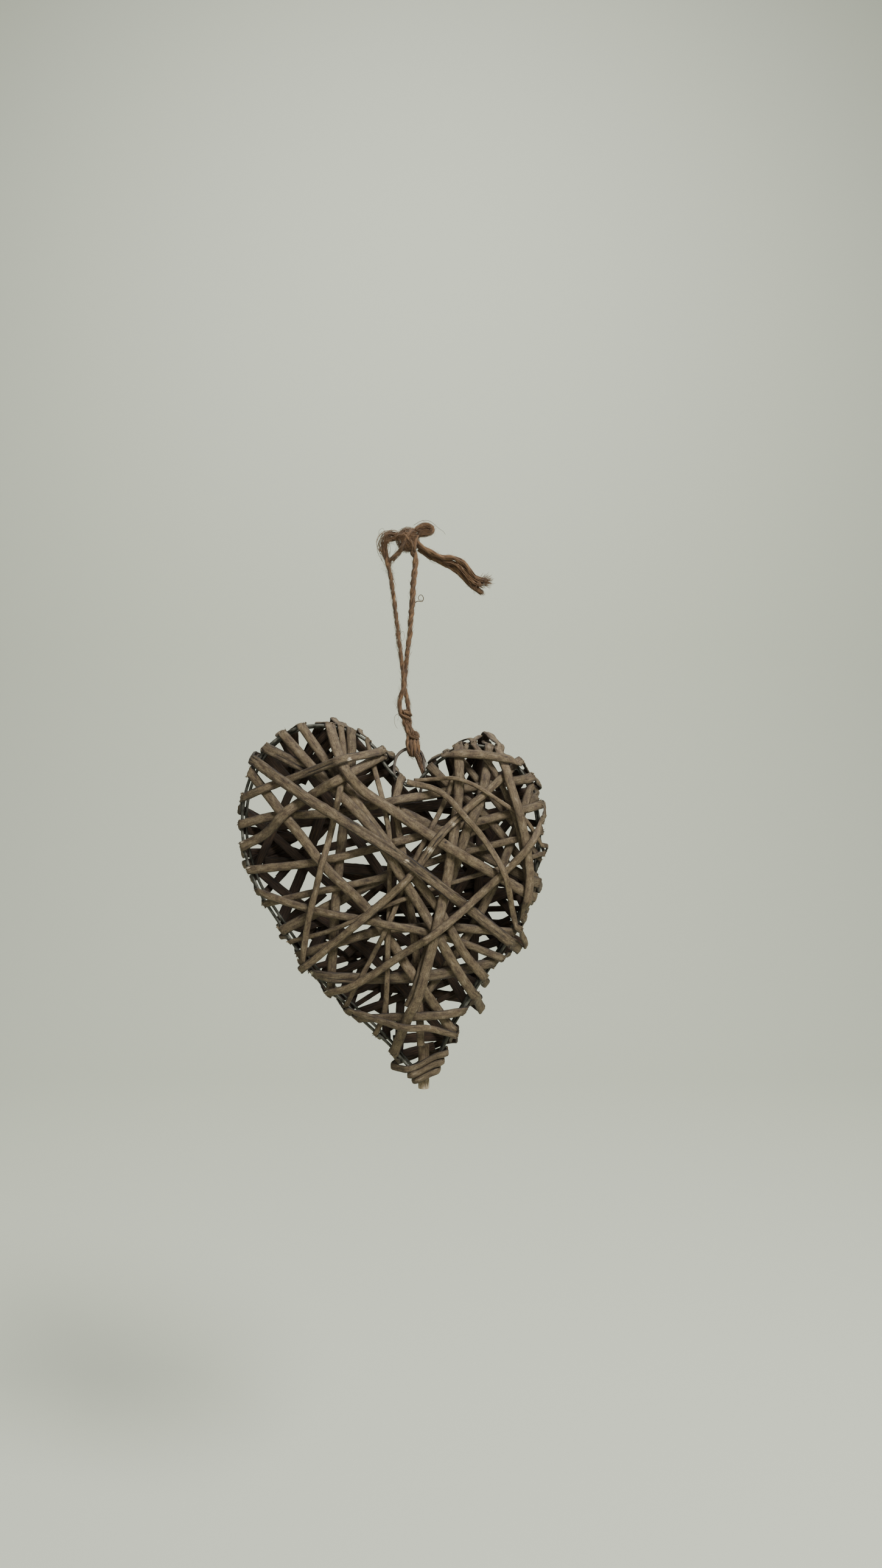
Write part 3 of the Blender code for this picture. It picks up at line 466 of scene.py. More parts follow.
# the twine
twine = {
    "radius": 1.4,
    "plyRadius": 1.04,
    "plyOffset": 0.52,
    "pitch": 13.0,  # length of one full turn of the two plies
    "ringStep": 0.7,
    "sides": 10,
    # how uneven a ply is, as shares: over a few centimetres, a few millimetres, and its fibre bundles
    "uneven": 0.16,
    "lumps": 0.14,
    "ridge": 0.13,
    "windingSway": 0.9,  # how far the winding runs ahead or behind, in radians
    "offsetSway": 0.3,
    "plyTone": 0.1,  # between the two plies
    "strandTone": -0.04,
    # the groove value below is painted shade: how much darker the grooves between fibre bundles are
    "grooveShade": 1.7,
    "hairSegments": 5,
    "archRings": 44,  # of the left strand's end, where it opens into the arch
    "leftStrand": [
        (9.8, -1.7, -124.2), (8.2, -1.7, -120.5), (7.2, -1.7, -116.2), (5.0, -1.2, -111.5),
        (4.1, -1.2, -107.0), (4.9, -1.5, -101.5), (6.4, -1.8, -96.5), (6.9, -1.8, -90.5),
        (6.0, -1.4, -81.5), (4.4, -0.3, -69.5), (2.9, 0.0, -57.5), (1.2, 0.0, -42.0), (-0.4, 0.0, -31.0),
        (-1.8, 0.0, -22.0), (-3.3, 0.0, -16.0), (-5.2, 0.2, -9.5), (-5.8, 0.6, -4.0), (-4.1, 0.8, 0.2),
        (0.0, 0.8, 1.4), (3.0, 0.6, 1.4),
    ],
    "rightStrand": [
        (12.4, 1.7, -123.8), (11.0, 1.7, -120.5), (10.4, 1.6, -116.2), (9.9, 1.2, -111.5),
        (9.8, 1.2, -107.0), (8.8, 1.5, -101.5), (7.5, 1.8, -96.5), (7.4, 1.8, -90.5), (8.2, 1.4, -81.5),
        (9.5, 0.3, -69.5), (10.8, 0.0, -61.0), (11.3, 0.0, -52.0), (12.3, 0.0, -42.5), (12.8, 0.0, -33.0),
        (13.4, 0.0, -24.5), (14.4, 0.0, -16.5), (14.4, 0.0, -11.0), (12.4, 0.0, -6.0),
    ],
    "eyeStrand": [(-0.6, -0.4, -12.4), (1.2, -0.8, -10.4), (3.2, -0.8, -8.2), (5.2, -0.6, -6.0)],
    "upperTail": [
        (14.9, -0.6, -0.8), (18.4, -1.2, -3.8), (24.0, -1.6, -7.4), (31.6, -1.6, -10.8),
        (39.0, -1.6, -11.4), (44.8, -1.4, -14.0), (48.8, -1.2, -18.6), (52.0, -0.6, -23.4),
        (56.0, 0.0, -25.4), (60.4, 0.4, -26.0),
    ],
    "lowerTail": [
        (16.4, 1.6, -5.0), (19.4, 1.7, -7.6), (26.0, 1.7, -11.4), (33.6, 1.6, -15.2), (41.8, 1.2, -20.0),
        (46.6, 0.9, -24.9), (51.0, 0.4, -29.4), (57.4, -0.2, -33.8),
    ],
    "bow": [
        (13.8, 0.6, 6.4), (16.6, 0.8, 9.0), (21.0, 0.6, 10.6), (25.2, 0.0, 8.6), (25.2, -0.6, 5.4),
        (21.4, -1.0, 3.8), (15.8, -0.9, 3.2),
    ],
    # each turn of a knot: where it passes, and how thick it is next to a strand
    "topTurns": [
        ([(2.0, 0.4, 1.8), (5.0, -2.4, 3.4), (9.5, -3.4, 3.6), (13.6, -1.6, 1.6),
          (14.6, 0.8, -1.6)], 0.8),
        ([(4.2, -1.4, -7.0), (6.6, -3.4, -3.2), (9.0, -3.8, 1.6), (11.6, -2.8, 6.0),
          (13.8, 0.4, 7.0)], 0.8),
        ([(12.6, -0.2, -7.2), (12.4, -3.0, -3.4), (10.2, -3.8, 0.2), (6.8, -3.0, 3.4),
          (4.6, 0.2, 5.0)], 0.85),
        ([(5.0, 2.6, -1.0), (8.6, 3.6, -4.0), (12.6, 2.2, -3.4), (14.4, -0.6, -0.6)], 0.8),
        ([(5.4, 2.2, 3.6), (9.0, 3.4, 5.4), (12.6, 2.0, 5.6), (14.8, -0.4, 3.4)], 0.8),
        ([(14.2, 1.0, -8.6), (13.8, -2.4, -5.0), (14.6, -2.6, -1.0), (16.0, -1.4, 3.2)], 0.7),
    ],
    "topCore": {"centre": (9.4, 0.2, 0.6), "halves": (4.2, 2.8, 4.6)},
    "ringTurns": [
        ([(10.0, 0.6, -123.6), (9.7, -1.8, -127.4), (9.6, -2.4, -131.6), (10.3, -2.0, -136.2),
          (12.0, -0.4, -139.0)], 0.95),
        ([(9.8, 0.8, -125.6), (10.8, -2.6, -126.6), (13.2, -3.4, -127.4), (15.8, -1.8, -127.6),
          (16.4, 0.8, -127.0)], 0.66),
        ([(10.8, 1.8, -128.8), (10.0, -2.2, -130.6), (9.9, -3.0, -134.0), (10.6, -1.6, -137.6),
          (11.2, 1.0, -138.2)], 0.85),
        ([(12.4, 1.6, -127.6), (11.8, -2.8, -130.2), (11.9, -3.7, -134.2), (12.4, -2.0, -138.6),
          (12.8, 1.2, -139.2)], 0.85),
        ([(14.2, 1.6, -127.6), (13.9, -2.8, -130.2), (14.1, -3.7, -134.2), (14.4, -2.0, -138.6),
          (14.4, 1.2, -139.2)], 0.85),
        ([(15.8, 1.8, -128.6), (15.9, -2.2, -130.6), (16.4, -3.0, -134.0), (16.3, -1.6, -137.8),
          (15.8, 1.0, -138.4)], 0.85),
        ([(10.4, 3.0, -129.0), (13.4, 3.8, -132.6), (15.6, 2.8, -136.8)], 0.95),
        ([(16.0, 2.6, -129.0), (13.2, 3.4, -133.0), (10.8, 2.4, -136.6)], 0.95),
    ],
    "ringCore": {"centre": (12.9, 0.2, -131.8), "halves": (3.3, 2.7, 6.6)},
    # turns round both strands above the knot, and the untwisted fibres that run down into it
    "throatTurns": [
        ([(5.6, 1.4, -110.2), (7.8, -2.4, -111.0), (10.2, -2.2, -111.8), (11.4, 0.8, -113.0)], 0.72),
        ([(4.4, 0.8, -112.4), (6.4, -2.8, -113.4), (9.4, -2.8, -114.6), (11.2, 0.6, -116.2)], 0.66),
    ],
    "throat": [
        (7.4, -0.4, -109.4), (8.0, -0.4, -113.0), (8.6, -0.4, -117.0), (9.5, -0.4, -121.0),
        (10.7, -0.4, -125.0), (12.0, -0.4, -129.0),
    ],
    # fibres that fill the space between the two tails
    "betweenTails": [
        (15.6, 0.4, -3.4), (20.4, 0.4, -6.4), (26.4, 0.2, -10.4), (33.0, 0.2, -13.4), (39.4, 0.0, -14.8),
        (44.4, 0.0, -18.4), (48.6, 0.0, -23.0), (52.4, 0.0, -27.2), (56.2, 0.0, -29.0),
    ],
    # each strand: count and length of the fuzz that stands off it, and count of fibres laid along it
    "strandFuzz": [
        ("leftStrand", (700, 2.2), 520), ("rightStrand", (760, 2.3), 520), ("eyeStrand", (80, 2.2), 90),
    ],
    # spread, count and tone of the fibres of each part of the tails
    "tailFibres": [
        ("upperTail", 2.1, 80, 0.46), ("lowerTail", 1.7, 64, 0.5), ("betweenTails", 2.7, 110, 0.66),
    ],
    # spread, count and length of the frayed ends
    "tailBrushes": [
        ("upperTail", 2.0, 170, 4.2), ("betweenTails", 2.2, 110, 3.4), ("lowerTail", 0.9, 90, 2.6),
    ],
    # height of each ring of fibres in the bow next to the bow's own, and their count
    "bowFibres": [(1.06, 60), (0.84, 60), (0.6, 60), (0.36, 40)],
    # the tuft over the ring knot: where it stands, and the lump under it
    "tuft": [(13.0, -1.8, -128.0), (13.6, -2.2, -126.0), (14.0, -2.0, -125.0)],
    "tuftCore": ((13.5, -0.9, -126.2), (2.7, 2.4, 2.3)),
    # fibres that join the eye to the left strand
    "eyeFan": [
        ((-2.6, 0.2, -17.0), 0.5), ((-2.6, 0.0, -13.2), 0.8), ((-0.8, -0.4, -11.8), 0.8),
        ((2.4, -0.8, -8.8), 0.7), ((5.4, -0.6, -5.6), 0.8),
    ],
    # the opened fibres of the arch, from the strand up and over to the knot, and how far each
    # point of a fibre strays
    "archFan": [
        ((-3.6, 0.0, -11.6), 0.7), ((-5.6, 0.0, -6.0), 1.9), ((-5.8, 0.2, 0.6), 2.4),
        ((-3.4, 0.4, 5.0), 2.2), ((1.4, 0.6, 4.4), 1.9), ((6.0, 0.4, 2.2), 1.4),
    ],
    # single loose fibres: radius and points
    "strayFibres": [
        (0.16, [(13.5, -0.8, 10.0), (18.1, -1.0, 12.6), (23.3, -1.0, 12.7), (26.6, -0.8, 10.6),
                (29.9, -0.6, 7.7), (32.5, -0.4, 6.0), (33.8, -0.4, 4.1)]),
        (0.34, [(13.8, 0.0, -40.2), (16.2, -0.8, -39.2), (18.7, -1.0, -39.6), (19.7, -1.0, -37.3),
                (18.1, -0.8, -35.0), (16.4, -0.6, -36.4), (16.7, -0.6, -38.3), (19.0, -0.4, -38.6)]),
        (0.17, [(4.4, -1.4, -112.0), (2.6, -1.8, -112.4), (1.3, -1.8, -113.6), (0.9, -1.6, -116.6),
                (1.6, -1.4, -119.9), (2.9, -1.2, -121.6)]),
        (0.34, [(-8.9, -2.6, -5.4), (-8.3, -2.6, -8.8)]),
        (0.2, [(-9.6, -1.0, -1.6), (-10.2, -1.2, -6.6), (-7.0, -1.4, -13.6)]),
        (0.16, [(-8.4, -0.2, -8.0), (-7.4, -0.2, -12.0), (-5.0, 0.0, -16.6)]),
        (0.13, [(21.4, -1.2, -9.4), (23.6, -1.4, -12.6), (25.6, -1.2, -14.4), (28.2, -0.8, -14.9)]),
        (0.12, [(4.2, -1.0, -60.8), (6.4, -1.2, -58.6), (7.4, -1.0, -62.2), (6.0, -0.8, -65.0),
                (4.6, -0.6, -62.6)]),
        (0.12, [(-8.4, 0.2, 2.2), (-9.2, 0.0, 6.2), (-6.8, 0.0, 8.2), (-5.0, 0.2, 5.2)]),
    ],
}


def twistPlies(bm, line, seed, thickness=1.0, pitch=None, tone=0.5):
    # two plies wound round a line, each uneven as hand-spun yarn is
    frames = carriedFrames(line)
    along = distances(line)
    turn = along / (pitch or twine["pitch"]) * 2 * math.pi
    thick = np.broadcast_to(thickness, (len(line),))
    sides = twine["sides"]
    for ply in range(2):
        uneven = np.array([wobble(s * 0.12, seed, ply * 7.0) for s in along])
        lumps = np.array([wobble(s * 0.5, seed + 3.0, ply * 5.0) for s in along])
        angle = turn + ply * math.pi + uneven * twine["windingSway"]
        offset = twine["plyOffset"] * thick * (1 + twine["offsetSway"] * lumps)
        centre = aside(line, frames, angle, offset)
        radii = twine["plyRadius"] * thick * (1 + twine["uneven"] * uneven + twine["lumps"] * lumps)
        # fibre bundles stand out as ridges that wind round the ply
        ridges = np.array([[1 + twine["ridge"] * wobble(k * 1.9 + seed, s * 0.22 + k, ply * 3.0)
                            for k in range(sides)] for s in along])
        # painted shade: the grooves between the bundles are darkened
        shade = tone + twine["plyTone"] * (ply - 0.5) + twine["strandTone"]
        shade = shade + twine["grooveShade"] * (ridges - 1)
        sweepTube(bm, centre, radii[:, None] * ridges, sides, start=seed * 37,
                  finishAndPaintedLight=lambda i, j, shade=shade: (shade[i][j % sides], 1.0, 0.0, 0.0))


def strandLine(points):
    return smoothThrough(points, twine["ringStep"])


def hair(start, direction, length, radius, curl, rng, tone):
    # one loose fibre that bends at random as it goes
    segments = twine["hairSegments"]
    points = [np.array(start)]
    heading = unit(np.array(direction, float))
    bend = scatter(rng) * curl
    for _ in range(segments):
        points.append(points[-1] + heading * length / segments)
        bend = bend * 0.7 + scatter(rng) * curl * 0.5
        heading = unit(heading + bend)
    return points, np.linspace(radius, radius * 0.4, len(points)), tone, rng.random() * 50


def mergeInto(bm, part):
    # adds a small mesh to a large one, which is quicker than growing the large one bit by bit
    mesh = bpy.data.meshes.new("part")
    part.to_mesh(mesh)
    part.free()
    bm.from_mesh(mesh)
    bpy.data.meshes.remove(mesh)


def layFibres(bm, fibres):
    # sweeps thin fibres, each given by its line, radius, tone and place in the pattern
    part = newBmesh()
    for points, radii, tone, start in fibres:
        sweepTube(part, np.array(points), radii, 3, tone, start=start)
    mergeInto(bm, part)


def fuzz(line, reach, count, length, rng, lift=0.6, radius=0.07, curl=0.25, tone=0.62, swirl=0.0):
    # loose fibres along a strand; the swirl lays them along its twist
    heading, first, second = carriedFrames(line)
    for _ in range(count):
        i = rng.randrange(len(line))
        angle = rng.uniform(0, 2 * math.pi)
        out = first[i] * math.cos(angle) + second[i] * math.sin(angle)
        around = np.cross(heading[i], out) * swirl
        way = (heading[i] * (1.2 - lift) + around) * rng.choice((-1, 1)) + out * lift
        size = length * rng.uniform(0.4, 1.3)
        shade = tone + rng.uniform(-0.15, 0.15)
        thin = radius * rng.uniform(0.6, 1.2)
        yield hair(line[i] + out * reach * 0.8, way, size, thin, curl, rng, shade)


def bundle(line, spread, count, radius, rng, tone=0.55):
    # untwisted fibres that run along a line, and wander from it by up to the spread
    frames = carriedFrames(line)
    share = np.linspace(0, 1, len(line))
    step = max(1.6, len(line) * twine["ringStep"] / 14)
    for _ in range(count):
        seed = rng.random() * 100
        angle = rng.uniform(0, 2 * math.pi) + np.array([1.6 * wobble(s * 2.0, seed) for s in share])
        away = spread * math.sqrt(rng.random())
        away = away * (1 + np.array([0.5 * wobble(s * 4, seed + 9) for s in share]))
        shade = tone + rng.uniform(-0.2, 0.2)
        route = evenPoints(aside(line, frames, angle, away), step)
        yield route, radius * rng.uniform(0.7, 1.3), shade, seed


def tangle(centre, halves, count, length, radius, rng, tone=0.6):
    # short fibres felted over a rounded lump, each curving round it
    middle = np.array(centre)
    reach = np.array(halves)
    for _ in range(count):
        spot = unit(scatter(rng))
        heading = unit(np.cross(spot, scatter(rng)))
        lift = 1.0 + 0.3 * rng.random() ** 2
        points = []
        for _ in range(6):
            points.append(middle + spot * reach * lift)
            heading = unit(heading + scatter(rng, 0.25) - spot * np.dot(heading, spot))
            spot = unit(spot + heading * length / 5 / reach.mean())
            lift += 0.04 * rng.random()
        shade = tone + rng.uniform(-0.22, 0.22)
        yield points, radius * rng.uniform(0.6, 1.3), shade, rng.random() * 50


def fan(stations, count, radius, rng, tone=0.6):
    # fibres through the same few places, each straying from them in its own way
    for _ in range(count):
        lean = scatter(rng, 0.7)
        points = [place + np.array((1.0, 0.6, 0.7)) * (lean * stray + scatter(rng, 0.3) * stray)
                  for place, stray in stations]
        shade = tone + rng.uniform(-0.25, 0.2)
        yield smoothThrough(points, 2.2), radius * rng.uniform(0.6, 1.3), shade, rng.random() * 50


def brush(line, spread, count, length, rng, darkest=0.3, lightest=0.75):
    # the frayed end of a tail: fibres that fan out past it
    way = unit(line[-1] - line[max(len(line) - 6, 0)])
    for _ in range(count):
        side = scatter(rng)
        start = line[-1] + side * 0.5 * spread - way * rng.uniform(0.5, 3.0)
        shade = rng.uniform(darkest, lightest)
        size = rng.uniform(0.6, 1.3) * length
        yield hair(start, way + side * 0.2 * spread, size, 0.15, 0.12, rng, shade)


def makeStrand(name, node, line, seed, *twist):
    bm = newBmesh()
    twistPlies(bm, line, seed, *twist)
    return finishPiece(name, bm, juteFinish, "jute", node)


def makeKnot(name, seed, fluff, felt, rng):
    # a lumpy core with turns of twine pulled tight over it, and fibres that stick out
    core = twine[name + "Core"]
    bm = newBmesh()
    solid = bmesh.ops.create_icosphere(bm, subdivisions=3, radius=1.0)["verts"]
    layer = bm.verts.layers.float_color.get("finishAndPaintedLight")
    for vert in solid:
        lump = 1.0 + 0.12 * noise.noise(vert.co * 2.0)
        spot = [a * b * lump for a, b in zip(vert.co, core["halves"])]
        vert.co = (Vector(spot) + Vector(core["centre"])) * mm
        vert[layer] = (0.22, 1.0, 0.0, 0.0)
    for face in bm.faces:
        face.smooth = True
    for k, (points, thickness) in enumerate(twine[name + "Turns"]):
        line = strandLine(points)
        twistPlies(bm, line, seed + k, thickness, 16.0, 0.42 + rng.uniform(-0.1, 0.1))
        layFibres(bm, bundle(line, 1.3 * thickness, 14, 0.13, rng, tone=0.5))
        layFibres(bm, fuzz(line, 1.3, fluff, 2.6, rng))
    halves = np.array(core["halves"]) * felt
    layFibres(bm, tangle(core["centre"], halves, fluff * 14, 4.0, 0.08, rng))
    return finishPiece(f"jute_{name}_knot", bm, juteFinish, "jute", f"twine_{name}_knot")


def makeTwine():
    rng = random.Random(11)
    lines = {key: strandLine(twine[key]) for key in
             ("leftStrand", "rightStrand", "upperTail", "lowerTail", "bow", "eyeStrand")}
    share = np.linspace(0, 1, len(lines["leftStrand"]))
    # the left strand is thinner between the arch and the throat, the right one thicker near the top
    slim = 0.98 - 0.08 * np.clip((share - 0.22) / 0.1, 0, 1) * np.clip((0.84 - share) / 0.08, 0, 1)
    rightShare = np.linspace(0, 1, len(lines["rightStrand"]))
    full = 0.98 + 0.34 * np.clip((rightShare - 0.42) / 0.3, 0, 1)
    # piece, node, line, and how thick it is, the length of a turn and the tone
    left, right, upper, lower, bow, eye = (
        makeStrand("jute_" + name, "twine_" + node, lines[key], float(seed), *twist)
        for seed, (name, node, key, *twist) in enumerate((
            ("strand_left", "strand_left", "leftStrand", slim),
            ("strand_right", "strand_right", "rightStrand", full),
            ("tail_upper", "tail_upper", "upperTail", 1.15, 22.0),
            ("tail_lower", "tail_lower", "lowerTail", 0.95, 18.0),
            ("bow", "bow", "bow", 0.72, 30.0, 0.6),
            ("eye", "eye_strand", "eyeStrand", 0.95, 12.0),
        ), 1)
    )
    topKnot = makeKnot("top", 20.0, 80, 1.4, rng)
    ringKnot = makeKnot("ring", 30.0, 14, 1.12, rng)

    bm = newBmesh()
    for key, standing, laid in twine["strandFuzz"]:
        layFibres(bm, fuzz(lines[key], 1.3, *standing, rng, lift=0.45, radius=0.055, curl=0.35))
        layFibres(bm, fuzz(lines[key], 1.75, laid, 6.0, rng, lift=0.06, radius=0.11, curl=0.08, tone=0.45,
                           swirl=0.3))
    arch = lines["leftStrand"][-twine["archRings"] :]
    layFibres(bm, fuzz(arch, 1.6, 260, 4.2, rng, lift=0.8, radius=0.06, curl=0.4, tone=0.6))
    layFibres(bm, fan(twine["archFan"], 120, 0.12, rng, tone=0.55))
    layFibres(bm, fan(twine["eyeFan"], 50, 0.13, rng, tone=0.45))
    throat = strandLine(twine["throat"])
    layFibres(bm, bundle(throat, 2.3, 70, 0.16, rng, tone=0.48))
    layFibres(bm, fuzz(throat, 2.4, 160, 2.2, rng, lift=0.3))
    for k, (points, thickness) in enumerate(twine["throatTurns"]):
        line = strandLine(points)
        twistPlies(bm, line, 40.0 + k, thickness, pitch=14.0)
        layFibres(bm, fuzz(line, 1.2, 60, 2.4, rng, lift=0.3))
    # a tuft over the ring knot
    layFibres(bm, brush(strandLine(twine["tuft"]), 1.5, 190, 2.3, rng, darkest=0.55, lightest=0.95))
    layFibres(bm, tangle(*twine["tuftCore"], 260, 3.2, 0.11, rng, tone=0.68))
    for radius, points in twine["strayFibres"]:
        line = smoothThrough(points, 0.9)
        sweepTube(bm, line, np.linspace(radius, radius * 0.6, len(line)), 5, 0.2)
    finishPiece("jute_loose_fibres", bm, juteFinish, "jute")

    bm = newBmesh()
    lines["betweenTails"] = strandLine(twine["betweenTails"])
    for key, spread, fibres, tone in twine["tailFibres"]:
        line = lines[key]
        layFibres(bm, bundle(line, np.linspace(0.35, 1.0, len(line)) * spread, fibres, 0.15, rng, tone))
        layFibres(bm, fuzz(line, spread * 0.8, 420, 3.0, rng, lift=0.3, radius=0.06, curl=0.3))
    for key, *size in twine["tailBrushes"]:
        layFibres(bm, brush(lines[key], *size, rng))
    finishPiece("jute_tail_fibres", bm, juteFinish, "jute")

    bm = newBmesh()
    centre = lines["bow"].mean(axis=0)
    for size, fibres in twine["bowFibres"]:
        line = centre + (lines["bow"] - centre) * (1.0, 1.0, size)
        layFibres(bm, bundle(line, 1.3, fibres, 0.11, rng, tone=0.62))
        layFibres(bm, fuzz(line, 1.4, 130, 3.4, rng, lift=0.3, radius=0.06, curl=0.3))
    finishPiece("jute_bow_fibres", bm, juteFinish, "jute")
    declareCords((left, lines["leftStrand"], "object", [ringKnot, eye]),
                 (right, lines["rightStrand"], "object", [topKnot, bow]),
                 (upper, lines["upperTail"], "bare", []),
                 (lower, lines["lowerTail"], "bare", []))


def declareCords(*cords):
    # each goes back into the object, or ends bare
    for piece, line, farEnd, others in cords:
        length = float(np.linalg.norm(np.diff(line, axis=0), axis=1).sum())
        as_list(others)
        print(f"{piece.name}: a cord of {length:.0f} mm")


makeTwine()
print("twine: two strands, two tails, bow, eye, knots and loose fibres")


# the rim and the dome that the strips follow
rim = {
    "wireRadius": 1.0,
    "depth": 8.0,  # of each wire in front of or behind the middle plane
    "tipDepth": 5.0,
    "tipStation": 304.0,
    "tipTaper": 60.0,
    "domeHeight": 6.5,
    "domeReach": 60.0,
    "touchGap": 0.3,
    "nearRim": 3.0,
    "lineStep": 2.0,
    "ringStep": 1.5,
    "sides": 12,
    "points": [
        (12, -159), (21.5, -150), (33, -140.5), (53, -133), (72, -139), (86, -155), (93, -176), (94, -198),
        (88.5, -225), (75.5, -254.5), (56, -284.5), (39, -312), (20.5, -345.5), (-4, -323), (-29, -299.5),
        (-50.5, -277.5), (-71, -249), (-88, -221), (-96, -192), (-94, -162), (-81, -135), (-60, -121.5),
        (-35, -121.5), (-14, -132), (-2, -149),
    ],
}

rimLine = smoothThrough([(*p, 0.0) for p in rim["points"]], rim["lineStep"], closed=True)[:-1, :2]
rimStep = float(np.linalg.norm(rimLine - np.roll(rimLine, 1, axis=0), axis=1).mean())
rimLength = rimStep * len(rimLine)


def rimDepth(station):
    away = min(abs(station % rimLength - rim["tipStation"]) / rim["tipTaper"], 1.0)
    return rim["tipDepth"] + (rim["depth"] - rim["tipDepth"]) * away * away * (3 - 2 * away)


def rimAt(station):
    # the (x, z) point, the direction of travel and the outward direction there
    place = station % rimLength / rimStep
    i = int(place) % len(rimLine)
    j = (i + 1) % len(rimLine)
    point = rimLine[i] + (rimLine[j] - rimLine[i]) * (place - int(place))
    along = rimLine[(j + 2) % len(rimLine)] - rimLine[i - 2]
    along = along / np.linalg.norm(along)
    return point, along, np.array([-along[1], along[0]])


def nearestRim(point):
    # distance to the rim, negative outside it, the outward direction and the station
    apart = rimLine - point
    i = int((apart**2).sum(axis=1).argmin())
    distance = float(np.linalg.norm(apart[i]))
    outward = rimAt(i * rimStep)[2]
    inside = 1.0 if float(apart[i] @ outward) > -1e-9 else -1.0
    direction = apart[i] / distance * inside if distance > rim["nearRim"] else outward
    return distance * inside, direction, i * rimStep


def domeSample(point, side):
    # the place and the outward normal on the front (-1) or back (+1) of the bare dome
    distance, outward, station = nearestRim(point)
    rest = 1.0 - min(max(distance, 0.0) / rim["domeReach"], 1.0)
    rise = rim["domeHeight"] * (1.0 - rest * rest)
    slope = 2.0 * rim["domeHeight"] / rim["domeReach"] * rest
    y = side * (rimDepth(station) + rim["wireRadius"] + rim["touchGap"] + rise)
    normal = Vector((outward[0] * slope, side, outward[1] * slope)).normalized()
    return Vector((point[0], y, point[1])), normal


